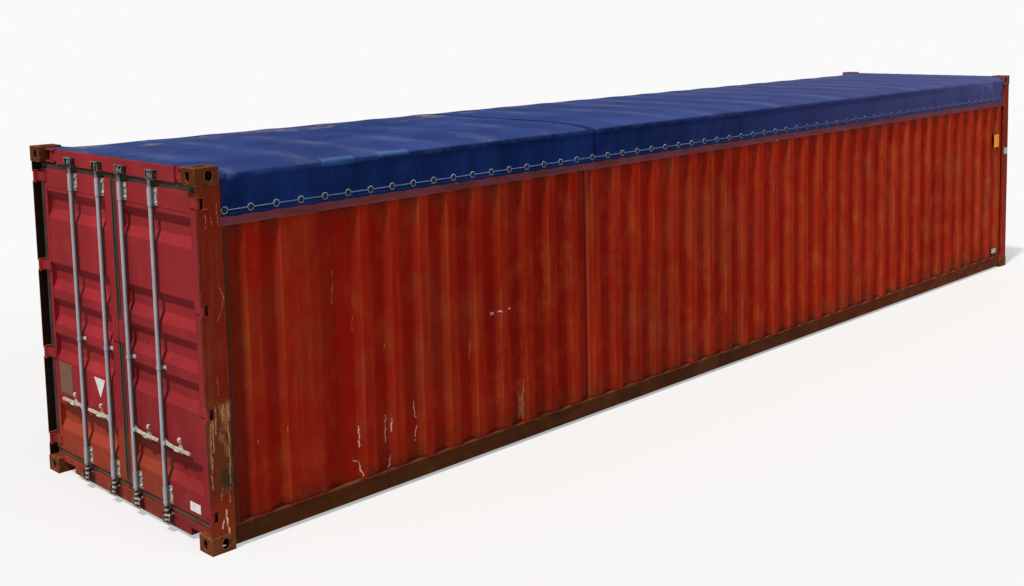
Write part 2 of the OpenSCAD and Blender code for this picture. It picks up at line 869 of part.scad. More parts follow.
// Catch under a handle: a foot on the door with a shelf, and an arm with an upturned finger.
module handle_catch(v) {
    half = catch_w / 2;
    arm = catch_arm_w / 2;
    along(panel_front - catch_t, panel_front)
        polygon([[v - half, shelf_z - catch_foot], [v + half, shelf_z - catch_foot],
            [v + half, shelf_z + catch_step], [v + arm, shelf_z + catch_foot],
            [v + arm, catch_top], [v - arm, catch_top],
            [v - arm, shelf_z + catch_foot], [v - half, shelf_z + catch_step]]);
    across(v - half, v + half)
        polygon([[panel_front - catch_t + weld, shelf_z], [shelf_front, shelf_z],
            [shelf_front, shelf_z - catch_t],
            [panel_front - catch_t + weld, shelf_z - shelf_rib]]);
    across(v - arm, v + arm)
        polygon([[panel_front - catch_t + weld, finger_z],
            [finger_u, finger_z], [finger_u, catch_top - finger_step],
            [panel_front - catch_t + weld, catch_top]]);
}

module handle_catches(left) {
    color(zinc) on_side(left)
        for (v = [outer_bar_v, inner_bar_v]) handle_catch(v - catch_r);
}

module right_handle_catches() {
    handle_catches(false);
}

module left_handle_catches() {
    handle_catches(true);
}

module seam_plate(left) {
    seam_edge = half_w - gasket_gap;
    color(paint) on_side(left)
        block([leaf_front - seam_plate_t, leaf_front], [seam_edge - seam_plate_w, seam_edge],
            [seam_plate_z, seam_plate_z + seam_plate_h]);
}

module right_seam_plate() {
    seam_plate(false);
}

module left_seam_plate() {
    seam_plate(true);
}

// Cam: a hub round the bar's end with a claw that points to the hinge side.
module cam(v, z) {
    tip_v = claw_tip_r - claw_r;
    upright(z, z + cam_h) translate([bar_u, v]) {
        circle(d = cam_hub_d);
        polygon([[-cam_root, 0], [cam_root, 0], [claw_tip_r, tip_v], [-claw_tip_r, tip_v]]);
        translate([0, tip_v]) circle(r = claw_tip_r);
    }
}

// Locking bar with a cam at each end, and the gusset ears and pin that carry its handle.
module locking_bar(v) {
    ear_gap = handle_t + 2 * ear_side_gap;
    cam_z = bar_end_gap;
    rod(bar_u, v, bar_z0, bar_z1, bar_d);
    cam(v, bar_z0 + cam_z);
    cam(v, bar_z1 - cam_z - cam_h);
    for (u = [bar_u - ear_gap / 2 - ear_t, bar_u + ear_gap / 2]) along(u, u + ear_t) {
        translate([v - pivot_r, handle_z])
            polygon([[0, boss_r], [pivot_r, ear_root_h / 2 - grip_drop],
                [pivot_r, -ear_root_h / 2 - grip_drop], [0, -boss_r]]);
        translate([v - pivot_r, handle_z]) circle(r = boss_r);
    }
    translate([bar_u - ear_gap / 2 - ear_t, v - pivot_r, handle_z]) rotate([0, 90, 0])
        cylinder(h = ear_gap + 2 * ear_t, d = pivot_d);
}

module right_outer_bar() {
    color(zinc) on_side(false) locking_bar(outer_bar_v);
}

module right_inner_bar() {
    color(zinc) on_side(false) locking_bar(inner_bar_v);
}

module left_outer_bar() {
    color(zinc) on_side(true) locking_bar(outer_bar_v);
}

module left_inner_bar() {
    color(zinc) on_side(true) locking_bar(inner_bar_v);
}

// Handle: a flat bar that drops from its pivot to a level grip with a round tip.
module handle(v) {
    pivot_v = v - pivot_r;
    tip_v = v - handle_l + grip_h / 2;
    neck_v = pivot_v - neck_l;
    eye_r = boss_r - boss_step;
    difference() {
        along(bar_u - handle_t / 2, bar_u + handle_t / 2) {
            translate([pivot_v, handle_z]) circle(r = eye_r);
            polygon([[pivot_v, handle_z + eye_r], [neck_v, grip_z + grip_h / 2],
                [tip_v, grip_z + grip_h / 2], [tip_v, grip_z - grip_h / 2],
                [neck_v, grip_z - grip_h / 2], [pivot_v, handle_z - eye_r]]);
            translate([tip_v, grip_z]) circle(d = grip_h);
        }
        translate([0, pivot_v, handle_z]) rotate([0, 90, 0])
            cylinder(h = leaf_front, d = pivot_d + 2 * pivot_fit);
    }
}

module right_outer_handle() {
    color(zinc) on_side(false) handle(outer_bar_v);
}

module right_inner_handle() {
    color(zinc) on_side(false) handle(inner_bar_v);
}

module left_outer_handle() {
    color(zinc) on_side(true) handle(outer_bar_v);
}

module left_inner_handle() {
    color(zinc) on_side(true) handle(inner_bar_v);
}

bottom_corner_castings();
top_corner_castings();
rear_corner_posts();
front_corner_posts();
bottom_side_rails();
top_side_rails();
door_sill();
door_header();
header_lugs();
front_sill();
front_header();
right_side_wall();
left_side_wall();
front_wall();
floor();
cross_members();
roof_bows();
tarpaulin();
tarp_flaps();
tarp_ends();
tarp_ropes();
hinge_lugs();
cam_keepers();
right_door_frame();
left_door_frame();
right_door_panel();
left_door_panel();
right_door_gasket();
left_door_gasket();
right_hinge_blades();
left_hinge_blades();
right_bar_guides();
left_bar_guides();
right_handle_catches();
left_handle_catches();
right_seam_plate();
left_seam_plate();
right_outer_bar();
right_inner_bar();
left_outer_bar();
left_inner_bar();
right_outer_handle();
right_inner_handle();
left_outer_handle();
left_inner_handle();
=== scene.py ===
import math
from functools import reduce

import bmesh
import bpy
import numpy as np
from bpy.props import FloatProperty, FloatVectorProperty, PointerProperty
from mathutils import Euler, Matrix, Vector


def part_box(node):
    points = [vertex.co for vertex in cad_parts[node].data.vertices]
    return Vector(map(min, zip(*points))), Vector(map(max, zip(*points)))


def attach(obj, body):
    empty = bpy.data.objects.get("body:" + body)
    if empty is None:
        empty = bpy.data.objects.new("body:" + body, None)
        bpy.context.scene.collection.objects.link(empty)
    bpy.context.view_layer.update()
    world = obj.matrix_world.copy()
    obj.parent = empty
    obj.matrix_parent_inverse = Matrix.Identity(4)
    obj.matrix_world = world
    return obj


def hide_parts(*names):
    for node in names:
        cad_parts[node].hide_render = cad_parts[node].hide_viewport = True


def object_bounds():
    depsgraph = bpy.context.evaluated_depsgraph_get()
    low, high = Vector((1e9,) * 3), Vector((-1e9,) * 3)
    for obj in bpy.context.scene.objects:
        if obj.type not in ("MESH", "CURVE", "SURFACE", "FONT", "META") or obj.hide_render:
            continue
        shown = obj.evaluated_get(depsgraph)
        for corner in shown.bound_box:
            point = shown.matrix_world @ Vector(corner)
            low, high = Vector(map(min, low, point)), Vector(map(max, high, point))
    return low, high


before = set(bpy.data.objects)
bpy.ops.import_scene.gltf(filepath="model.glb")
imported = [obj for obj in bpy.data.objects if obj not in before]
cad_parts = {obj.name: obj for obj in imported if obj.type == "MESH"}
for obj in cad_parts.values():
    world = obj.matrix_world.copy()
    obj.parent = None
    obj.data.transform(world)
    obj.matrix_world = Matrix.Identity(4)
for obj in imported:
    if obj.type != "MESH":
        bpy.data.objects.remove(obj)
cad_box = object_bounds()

bl_info = {
    "name": "Open-top Container Dressing",
    "version": (1, 0, 0),
    "blender": (4, 5, 0),
    "location": "3D View > Sidebar > Container",
    "description": "Paint, roof cloth and small fittings of a long open-top container",
    "category": "Object",
}

HALF_L = cad_box[1].x
HALF_W = cad_box[1].y
BOX_H = cad_box[1].z
SIDES = {"right": -1, "left": 1}

# Camera, fitted to the corners of the box in the photograph; in pixels where the name says so.
PHOTO_PIXELS = (1024, 586)
LENS_PIXELS = 1239.15
CENTRE_PIXELS = (554.99, 146.9)
SENSOR = 36.0
CAMERA_PLACE = (-10.16904, -8.33117, 3.54527)
CAMERA_TURN = (83.79491, 1.02654, -46.29295)

# Suns: name, strength, width in degrees, tint and the direction that they come from.
SUNS = (("key", 4.2, 4.0, (1.0, 0.97, 0.93), (-0.45, -0.09, 0.89)),
        ("fill", 0.8, 30.0, (1.0, 1.0, 1.0), (0.3, -0.88, 0.37)))
SKY_TINT = (0.97, 0.985, 1.0)
SKY_STRENGTH = 0.27
BACKDROP_STRENGTH = 0.955
FLOOR_RADIUS = 60.0
FLOOR_BOUNCE = (0.36, 0.36, 0.36)
FLOOR_SEEN = (0.61, 0.61, 0.615)
FLOOR_GLOW = (0.955, 0.955, 0.96)
GLOW_FADE = (4.0, 12.0, 0.4, 1.0)

# Side wall folds, measured along the box from the door end.
WALL_CREST_V = 0.012
WALL_RECESS_V = 0.048
WALL_SLOPE = 0.068
CREST_FLAT = 0.072
CREST_PITCH = 0.279
FIRST_CREST = (0.361, 0.456)
SECOND_CREST = (0.640, 0.926)
REGULAR_CREST = 1.306
WALL_ENDS = (0.222, 12.054)
WALL_Z = (0.161, 2.190)

# Roof cloth, its bows, flaps, eyelets and strips.
ROOF_CROWN = 2.582
ROOF_FALL = 0.038
ROOF_POWER = 6
ROOF_HALF = 1.2093
SHOULDER_Y = 1.178
SHOULDER_DROP = 0.034
FLAP_Y = 1.2083
FLAP_Z = 2.255
FLAP_X = HALF_L - 0.185
ROPE_Z = 2.295
CLOTH_END_X = HALF_L - 0.060
CLOTH_END_Y = 1.047
HEADER_CLOTH_Z = 2.5784
BOW_FIRST = 0.305
BOW_COUNT = 21
BOW_FLAT = 0.020
BOW_PITCH = (2 * HALF_L - 2 * BOW_FIRST) / (BOW_COUNT - 1)
EYELET_X = 5.884
EYELET_Y = FLAP_Y + 0.0022
END_EYELET_FIRST = -0.95
END_EYELET_PITCH = 0.19
END_EYELET_COUNT = 11
HEM_Z = ROPE_Z - 0.012
LAP_X = (-2.335, -2.262)
REPAIRS = ((-5.102, -4.806, 2.490), (-4.606, -4.306, 2.500))
REPAIR_Y = 1.13
STRIP_THICKNESS = 0.0012

# Door gear, as distances from the middle of the door end.
LEAF_X = -HALF_L + 0.048
PANEL_X = -HALF_L + 0.050
DOOR_END_X = (-7.0, -5.0)
BAR_Y = {"outer": 0.595, "inner": 0.168}
END_GUIDE_Z = ((0.195, 0.321), (2.290, 2.416))
MID_GUIDE_Z = (1.1516, 1.1796)
GUIDE_FACE_X = -HALF_L + 0.043
MID_GUIDE_FACE_X = -HALF_L + 0.045
GUIDE_BOLT_Y = (-0.036, 0.036)
GUIDE_BOLT_END = 0.024
HANDLE_Z = 0.640
CATCH_R = 0.186
CATCH_FACE_X = -HALF_L + 0.044
CATCH_RIVETS = ((-0.018, -0.034), (0.018, -0.034), (0.0, 0.022))
HINGE_Z = (0.257, 0.956, 1.655, 2.354)
HINGE_CLEAR = 0.039
LEAF_Z = (0.189, 2.422)
SEAM_PLATE_Z = (1.240, 1.406)
LIP_END = 0.002
LIP_OUTER_V = 0.069

# Weld beads; u runs along the box from its end, v inwards from its side.
WALL_JOINTS_U = (3.744, 1.080)
CASTING_WELD_V = 0.004
CASTING_WELD_Z = (0.118, 2.473)
POST_WELD_V = 0.012
POST_WELD_Z = (0.165, 2.18)
REAR_POST_U = (0.008, 0.178)
REAR_POST_BACK_U = 0.182
FRONT_POST_U = (0.008, 0.138)
HINGE_WELD_V = (0.075, 0.149)
HINGE_WELD_Z = (-0.0355, 0.0355)
HINGE_END_WELD_V = 0.1495
HINGE_END_WELD_Z = (-0.035, 0.035)
PANEL_WELD_V = (0.155, 1.105)
PANEL_WELD_Z = (0.327, 2.284)

# Floor boards and their screws.
BOARD_LENGTH = 2.4
BOARD_WIDTH = 0.386
BOARD_GAP = 0.0035
SCREW_ROWS = 0.3
SCREWS_ACROSS = 12

# Painted shade: zinc turned away from the door end is darkened by this tint, as the side away from the
# light.
SHADED_ZINC = (0.34, 0.33, 0.34)

# Scratches as x, z, x, z: on the right wall in the frame, on the rear posts from the door end.
WALL_BARE_LINES = (
    (-4.84, 0.56, -4.845, 0.4), (-4.85, 0.285, -4.825, 0.18), (-4.59, 0.572, -4.597, 0.37),
    (-4.545, 0.54, -4.55, 0.44), (-4.56, 0.26, -4.575, 0.16), (-4.315, 0.62, -4.3, 0.48),
    (-4.295, 0.42, -4.31, 0.3), (-4.9, 0.315, -4.86, 0.3),
)
WALL_FAINT_LINES = (
    (-4.861, 1.384, -4.866, 1.27), (-4.579, 1.133, -4.585, 1.06), (-3.732, 0.98, -3.738, 0.82),
    (-5.71, 0.7, -5.705, 0.67), (-5.467, 0.72, -5.465, 0.67), (-5.02, 1.75, -5.03, 1.5),
    (-3.154, 0.522, -3.164, 0.183),
)
WALL_DABS = (
    (-3.5, 1.142, -3.46, 1.146), (-3.43, 1.145, -3.4, 1.149), (-3.325, 1.155, -3.29, 1.147),
)
POST_PALE_LINES = (
    (0.118, 0.287, 0.133, 0.118), (0.098, 0.23, 0.083, 0.165),
)
POST_RUBBED_LINES = (
    (0.075, 1.0, 0.07, 0.82), (0.13, 1.01, 0.125, 0.9), (0.165, 1.0, 0.16, 0.46),
    (0.03, 0.9, 0.028, 0.45), (0.045, 0.95, 0.05, 0.7), (0.09, 0.41, 0.085, 0.36),
    (0.15, 0.39, 0.148, 0.33),
)
POST_THIN_LINES = (
    (0.139, 1.811, 0.172, 1.738), (0.172, 1.738, 0.154, 1.63), (0.154, 1.63, 0.114, 1.57),
    (0.067, 2.284, 0.062, 2.19), (0.15, 2.35, 0.155, 2.2), (0.03, 2.33, 0.09, 2.322),
    (0.1, 2.27, 0.12, 2.21), (0.1, 1.2, 0.097, 1.08),
)


class Nodes:
    """Adds and joins the nodes of one tree."""

    def __init__(self, tree):
        self.tree = tree
        tree.nodes.clear()

    def add(self, kind, inputs=None, **settings):
        """Adds a node with its settings, then joins or sets its inputs."""
        node = self.tree.nodes.new(kind)
        for key, value in settings.items():
            setattr(node, key, value)
        for key, value in (inputs or {}).items():
            self.feed(node.inputs[key], value)
        return node

    def feed(self, socket, value):
        """Joins a socket to another one, or sets its value."""
        if isinstance(value, bpy.types.NodeSocket):
            self.tree.links.new(value, socket)
        elif isinstance(value, (tuple, list)) and socket.type == "RGBA":
            socket.default_value = (*value[:3], 1.0)
        else:
            socket.default_value = value

    def sum_of(self, how, *values):
        return self.add("ShaderNodeMath", dict(enumerate(values)), operation=how).outputs[0]

    def vector(self, how, a, b):
        node = self.add("ShaderNodeVectorMath", {0: a, "Scale" if how == "SCALE" else 1: b}, operation=how)
        return node.outputs["Value" if how == "DOT_PRODUCT" else 0]

    def band(self, value, low, high, start=0.0, end=1.0):
        """Turns a value from low to high into one from start to end, softly."""
        inputs = dict(enumerate((value, low, high, start, end)))
        return self.add("ShaderNodeMapRange", inputs, interpolation_type="SMOOTHSTEP").outputs[0]


class Finish(Nodes):
    """The nodes of one surface finish, and the colour that is laid so far."""

    def __init__(self, name):
        self.material = bpy.data.materials.new(name)
        self.material.use_nodes = True
        super().__init__(self.material.node_tree)
        self.shader = self.add("ShaderNodeBsdfPrincipled")
        self.add("ShaderNodeOutputMaterial", {0: self.shader.outputs[0]})
        coords = self.add("ShaderNodeTexCoord").outputs
        self.place = coords["Object"]
        self.axes = self.split(self.place)
        self.facing = self.split(coords["Normal"])
        self.colour = None

    def split(self, vector):
        return self.add("ShaderNodeSeparateXYZ", {0: vector}).outputs

    def stretched(self, stretch, shift=(0.0, 0.0, 0.0)):
        inputs = {"Vector": self.place, "Scale": stretch, "Location": shift}
        return self.add("ShaderNodeMapping", inputs).outputs[0]

    def noise(self, scale, detail=4.0, rough=0.55, stretch=(1.0, 1.0, 1.0), shift=(0.0, 0.0, 0.0), warp=0.0):
        inputs = {"Vector": self.stretched(stretch, shift), "Scale": scale, "Detail": detail,
                  "Roughness": rough, "Distortion": warp}
        return self.add("ShaderNodeTexNoise", inputs).outputs[0]

    def spots(self, low, high, *noise, **settings):
        """Noise that is softly cut between two levels."""
        return self.band(self.noise(*noise, **settings), low, high)

    def cells(self, scale, stretch=(1.0, 1.0, 1.0), output="Distance"):
        inputs = {"Vector": self.stretched(stretch), "Scale": scale}
        return self.add("ShaderNodeTexVoronoi", inputs, feature="F1").outputs[output]

    def wave(self, direction, scale, warp=0.0):
        inputs = {"Vector": self.place, "Scale": scale, "Distortion": warp}
        node = self.add("ShaderNodeTexWave", inputs, wave_type="BANDS", bands_direction=direction)
        return node.outputs[1]

    def ramp(self, share, start, end):
        """Turns a share from 0 to 1 into a value from start to end."""
        return self.band(share, 0.0, 1.0, start, end)

    def times(self, *values):
        return reduce(lambda a, b: self.sum_of("MULTIPLY", a, b), values)

    def most(self, *values):
        return reduce(lambda a, b: self.sum_of("MAXIMUM", a, b), values)

    def size(self, value):
        """How far a value lies from zero."""
        return self.sum_of("ABSOLUTE", value)

    def from_nearest(self, pitch, start):
        """How far a point lies along the box from the nearest of a row, in pitches."""
        turns = self.sum_of("MULTIPLY_ADD", self.axes[0], 1.0 / pitch, start / pitch)
        return self.sum_of("PINGPONG", turns, 0.5)

    def over(self, amount, under, upper, how="MIX"):
        """Lays one colour over another."""
        inputs = {0: amount, 6: under, 7: upper}
        node = self.add("ShaderNodeMix", inputs, data_type="RGBA", blend_type=how, clamp_factor=True)
        return node.outputs[2]

    def lay(self, tint, *amounts, how="MIX"):
        """Lays a tint over the colour so far, by the product of the amounts."""
        self.colour = self.over(self.times(*amounts), self.colour, tint, how)

    def tone(self, tint, *amounts):
        """Multiplies the colour so far by a tint."""
        self.lay(tint, *amounts, how="MULTIPLY")

    def stirred(self, scale, reach):
        """Object coordinates pushed about by noise."""
        stir = self.add("ShaderNodeTexNoise", {"Vector": self.place, "Scale": scale, "Detail": 5.0})
        push = self.vector("SUBTRACT", stir.outputs[1], (0.5, 0.5, 0.5))
        return self.vector("ADD", self.place, self.vector("SCALE", push, reach))

    def zone(self, soft, ragged=0.0, **limits):
        """A soft-edged block between limits of x, y and z."""
        axes = self.split(self.stirred(0.35 / ragged, ragged * 4)) if ragged else self.axes
        inside = []
        for axis, (low, high) in limits.items():
            value = axes["xyz".index(axis)]
            inside.append(self.times(self.band(value, low - soft, low + soft),
                                     self.band(value, high - soft, high + soft, 1.0, 0.0)))
        return self.times(*inside)

    def strokes(self, half, sway, segments, fade=0.006):
        """Thin broken scratches along segments of x and z."""
        place = self.stirred(22.0, sway)
        lines = []
        for xa, za, xb, zb in segments:
            length = math.hypot(xb - xa, zb - za)
            along = ((xb - xa) / length, 0.0, (zb - za) / length)
            off = self.vector("SUBTRACT", place, (xa, 0.0, za))
            run = self.vector("DOT_PRODUCT", off, along)
            gap = self.size(self.vector("DOT_PRODUCT", off, (-along[2], 0.0, along[0])))
            lines.append(self.times(self.band(gap, half * 0.4, half, 1.0, 0.0), self.band(run, -fade, fade),
                                    self.band(run, length - fade, length + fade, 1.0, 0.0)))
        return self.times(self.most(*lines), self.spots(0.38, 0.5, 55.0, 3.0, 0.6))

    def scratches(self, along, across, amount):
        """Fine broken lines; along and across are their frequencies."""
        lines = self.noise(1.0, 3.0, 0.6, stretch=(across, across, along), warp=0.3)
        return self.times(self.band(lines, amount, amount + 0.05), self.spots(0.42, 0.6, 9.0, 3.0, 0.6))

    def rounded(self, radius):
        return self.add("ShaderNodeBevel", {"Radius": radius}, samples=4).outputs[0]

    def edges(self, radius):
        """How near a point lies to a sharp outer edge."""
        normal = self.add("ShaderNodeNewGeometry").outputs["Normal"]
        return self.band(self.vector("DOT_PRODUCT", self.rounded(radius), normal), 0.97, 0.75)

    def bumps(self, *layers, round_edges=0.0):
        """Joins bump layers, each a height, a strength and a distance."""
        below = {"Normal": self.rounded(round_edges)} if round_edges else {}
        for height, strength, distance in layers:
            inputs = {"Strength": strength, "Distance": distance, "Height": height, **below}
            below = {"Normal": self.add("ShaderNodeBump", inputs).outputs[0]}
        self.feed(self.shader.inputs["Normal"], below["Normal"])

    def coloured(self):
        """Joins the colour so far to the shader."""
        self.feed(self.shader.inputs["Base Color"], self.colour)
        return self.material

    def done(self, rough, metal=0.0, gloss=0.1):
        for label, value in (("Roughness", rough), ("Metallic", metal), ("Specular IOR Level", gloss)):
            self.feed(self.shader.inputs[label], value)
        return self.coloured()


def shade(colour, factor):
    return tuple(channel * factor for channel in colour)


def toward(colour, other, amount):
    return tuple(a + (b - a) * amount for a, b in zip(colour, other))


def old_paint(f, base, rust, streak=0.5, rusty=0.55):
    """Lays uneven, streaked and rust-specked paint, and gives how rusty it is."""
    dark = shade(base, 0.74)
    pale = toward(shade(base, 1.12), (0.4, 0.14, 0.08), 0.1)
    broad = f.spots(0.36, 0.62, 0.9, 5.0, 0.62, stretch=(1.0, 1.0, 0.45))
    f.colour = f.over(broad, dark, base)
    chalk = f.spots(0.5, 0.78, 2.6, 6.0, 0.68, shift=(3.0, 1.0, 7.0))
    f.lay(pale, chalk, 0.7)
    runs = f.spots(0.5, 0.74, 1.0, 4.0, 0.62, stretch=(24.0, 24.0, 0.7), shift=(1.0, 5.0, 0.0))
    f.lay(dark, runs, streak)
    patch = f.spots(rusty, rusty + 0.12, 5.5, 7.0, 0.72, shift=(9.0, 2.0, 4.0))
    rust_amount = f.times(patch, f.spots(0.4, 0.62, 46.0, 4.0, 0.6))
    f.lay(rust, rust_amount)
    return rust_amount


def wall_finish(name, colours, depth_axis=1, marked=False):
    """Weathered wall paint: deep red folds with painted shade in their recesses, painted light on the slopes
    facing the door end, painted shade under the top rail, rubbed crests, mottled wear, and painted light
    towards the far end.
    """
    f = Finish(name)
    base = tuple(colours.wall)
    rust_amount = old_paint(f, base, shade(colours.rust, 0.7), streak=0.45, rusty=0.62)
    half = (HALF_L, HALF_W)[depth_axis]
    depth = f.sum_of("SUBTRACT", half, f.size(f.axes[depth_axis]))
    # Painted shade: the recesses of the folds are darkened, as where shade falls.
    deep = f.band(depth, WALL_CREST_V + 0.006, WALL_RECESS_V - 0.004)
    f.tone((0.88, 0.56, 0.7), deep, 0.75)
    orange = toward(base, (0.29, 0.045, 0.01), 0.75)
    mottle = f.spots(0.45, 0.72, 5.0, 6.0, 0.66, stretch=(1.0, 1.0, 0.6), shift=(5.0, 2.0, 8.0))
    f.lay(orange, mottle, 0.42)
    brown = f.spots(0.48, 0.7, 1.6, 5.0, 0.64, stretch=(1.0, 1.0, 0.8), shift=(4.0, 4.0, 2.0))
    f.lay(toward(base, (0.16, 0.024, 0.008), 0.9), brown, 0.42)
    # Painted light: slopes that face the door end are lightened, as if lit from that end.
    lit_slope = f.band(f.facing[0], -0.15, -0.4)
    f.tone((0.93, 1.75, 1.75), lit_slope, 0.8)
    rubbed = f.noise(1.0, 5.0, 0.66, stretch=(14.0, 14.0, 1.3), shift=(2.0, 0.0, 3.0))
    crest = f.band(depth, WALL_CREST_V + 0.012, WALL_CREST_V + 0.002)
    f.lay(shade(orange, 1.08), crest, f.band(rubbed, 0.46, 0.68), 0.4)
    fold = f.times(f.band(depth, WALL_CREST_V + 0.0002, WALL_CREST_V + 0.003),
                   f.band(depth, WALL_CREST_V + 0.014, WALL_CREST_V + 0.004))
    f.lay((0.3, 0.06, 0.018), fold, f.band(rubbed, 0.46, 0.66), 0.25)
    ragged = f.noise(7.0, 6.0, 0.68)
    low = f.times(f.band(f.axes[2], 0.42, 0.17), f.band(ragged, 0.4, 0.6))
    f.lay((0.07, 0.014, 0.006), low, 0.7)
    seam = f.times(f.band(f.axes[2], 0.2, 0.165), f.band(ragged, 0.34, 0.5))
    f.lay((0.03, 0.01, 0.005), seam, 0.8)
    # Painted shade under the top rail, with dirt: darker near the top of the wall, more so in the recesses.
    high = f.times(f.band(f.axes[2], 2.06, 2.2),
                   f.band(f.sum_of("ADD", f.times(deep, 0.3), rubbed), 0.5, 0.7))
    f.lay((0.06, 0.013, 0.007), high, 0.5)
    # Painted light: the paint is lightened towards the far end, where the wall is seen at a grazing angle.
    far_end_light = f.band(f.axes[0], -5.4, 6.5)
    f.tone((1.46, 1.85, 1.75), far_end_light)
    if marked:
        # Painted shade: the wall beside the rear post is darkened, as in the post's shade.
        corner = f.zone(0.07, 0.03, x=(-HALF_L, -5.79), z=(-1.0, 3.0))
        f.lay((0.08, 0.013, 0.006), corner, 0.6)
        outside = f.band(f.facing[1], -0.3, -0.6)
        f.lay((0.6, 0.38, 0.3), f.strokes(0.0055, 0.035, WALL_BARE_LINES), outside, 0.8)
        f.lay((0.46, 0.2, 0.09), f.strokes(0.005, 0.03, WALL_FAINT_LINES), outside, 0.5)
        f.lay((0.66, 0.48, 0.42), f.strokes(0.012, 0.04, WALL_DABS), outside, 0.9)
        run = f.zone(0.012, 0.012, x=(-3.2, -3.165), z=(0.2, 0.53))
        f.lay((0.24, 0.11, 0.05), run, f.band(ragged, 0.36, 0.56), outside, 0.7)
        joint = f.zone(0.004, 0.003, x=(-2.368, -2.352), z=(0.17, 2.2))
        f.lay((0.05, 0.009, 0.004), joint, 0.7)
        beside = f.zone(0.004, 0.003, x=(-2.345, -2.322), z=(0.17, 2.2))
        f.lay((0.36, 0.07, 0.03), beside, 0.4)
    dents = f.noise(3.2, 3.0, 0.5)
    grit = f.sum_of("ADD", f.times(rust_amount, 0.6), f.times(f.noise(130.0, 3.0, 0.6), 0.3))
    f.bumps((dents, 0.35, 0.02), (grit, 0.3, 0.002))
    return f.done(f.ramp(rust_amount, 0.6, 0.85), gloss=0.02)


def door_finish(name, colours):
    """Chalky door paint, browned low down, with handling marks and rusty edges."""
    f = Finish(name)
    rust_amount = old_paint(f, tuple(colours.door), shade(colours.rust, 0.8), streak=0.22, rusty=0.66)
    browned = f.times(f.zone(0.05, 0.02, x=DOOR_END_X, y=(-0.62, 1.12), z=(-0.2, 0.575)),
                      f.band(f.noise(3.0, 5.0, 0.6), 0.2, 0.55, 0.55, 1.0))
    f.lay((0.25, 0.043, 0.017), browned, 0.8)
    scuff = f.times(f.scratches(5.0, 60.0, 0.6), f.spots(0.45, 0.6, 1.7, 3.0, 0.6))
    f.lay((0.42, 0.13, 0.12), scuff, 0.25)
    left = f.band(f.axes[1], 0.0, 0.08)
    f.tone((1.14, 1.06, 1.13), left)
    soot = f.times(f.band(f.axes[2], 0.4, 0.08), f.spots(0.4, 0.62, 9.0, 5.0, 0.66))
    f.lay((0.09, 0.026, 0.016), soot, 0.5)
    rub = f.times(f.edges(0.006), f.spots(0.44, 0.62, 14.0, 5.0, 0.7))
    f.lay((0.16, 0.05, 0.03), rub, 0.5)
    streak = f.spots(0.56, 0.74, 1.0, 4.0, 0.6, stretch=(1.0, 26.0, 0.8))
    f.lay((0.14, 0.014, 0.013), streak, 0.3)
    outer, inner = BAR_Y["outer"], BAR_Y["inner"]
    for y in (outer, inner, -inner, -outer):
        # Painted shadow below each bar end, under its keeper, mixed with a rust stain.
        stain = f.zone(0.02, 0.012, x=DOOR_END_X, y=(y - 0.065, y + 0.035), z=(-0.1, 0.15))
        f.lay((0.035, 0.012, 0.009), stain, 0.75)
    f.bumps((f.noise(4.0, 3.0, 0.5), 0.25, 0.015), (f.noise(150.0, 3.0, 0.6), 0.2, 0.0015),
            round_edges=0.003)
    return f.done(f.ramp(rust_amount, 0.5, 0.85), gloss=0.03)


def on_post(lines):
    """Turns distances from the door end into places along the box."""
    return [(xa - HALF_L, za, xb - HALF_L, zb) for xa, za, xb, zb in lines]


def rear_post_wear(f):
    """Scrapes, pale lines, and painted shade with dirt inside the rear posts and on their part set back
    beside the wall.
    """
    x = -HALF_L
    ochre = f.times(f.spots(0.5, 0.68, 1.0, 6.0, 0.7, stretch=(17.0, 17.0, 0.7), shift=(3.0, 7.0, 1.0)),
                    f.spots(0.4, 0.62, 6.0, 5.0, 0.66, shift=(1.0, 5.0, 3.0)))
    f.lay((0.15, 0.042, 0.009), ochre, 0.6)
    low = f.band(f.axes[2], 0.45, 0.3)
    f.lay((0.22, 0.032, 0.01), low, 0.6)
    face = f.zone(0.03, 0.03, x=(x + 0.004, x + 0.2), z=(0.4, 1.02))
    ragged = f.noise(10.0, 6.0, 0.72, stretch=(1.0, 1.0, 0.45))
    f.lay((0.1, 0.032, 0.011), face, f.band(ragged, 0.34, 0.46), 0.85)
    f.lay((0.25, 0.095, 0.04), face, f.band(ragged, 0.5, 0.62))
    blob = f.zone(0.025, 0.02, x=(x + 0.095, x + 0.185), z=(0.44, 0.575))
    f.lay((0.045, 0.024, 0.008), blob, 0.95)
    f.lay((0.7, 0.42, 0.33), f.strokes(0.008, 0.03, on_post(POST_PALE_LINES)), 0.9)
    f.lay((0.5, 0.27, 0.15), f.strokes(0.006, 0.03, on_post(POST_RUBBED_LINES)), 0.7)
    f.lay((0.42, 0.22, 0.13), f.strokes(0.0035, 0.04, on_post(POST_THIN_LINES)), 0.6)
    # Painted shade with dirt: the inside of the rear post's recess is near black.
    inner = f.times(f.band(f.sum_of("SUBTRACT", HALF_W, f.size(f.axes[1])), 0.0055, 0.0075),
                    f.band(f.axes[0], x + 0.181, x + 0.179))
    f.lay((0.013, 0.008, 0.006), inner, 0.96)
    # Painted shade: the part of the post set back past its plate, beside the wall, is darkened.
    set_back_shade = f.band(f.axes[0], x + 0.18, x + 0.186)
    f.lay((0.055, 0.011, 0.005), set_back_shade, 0.75)


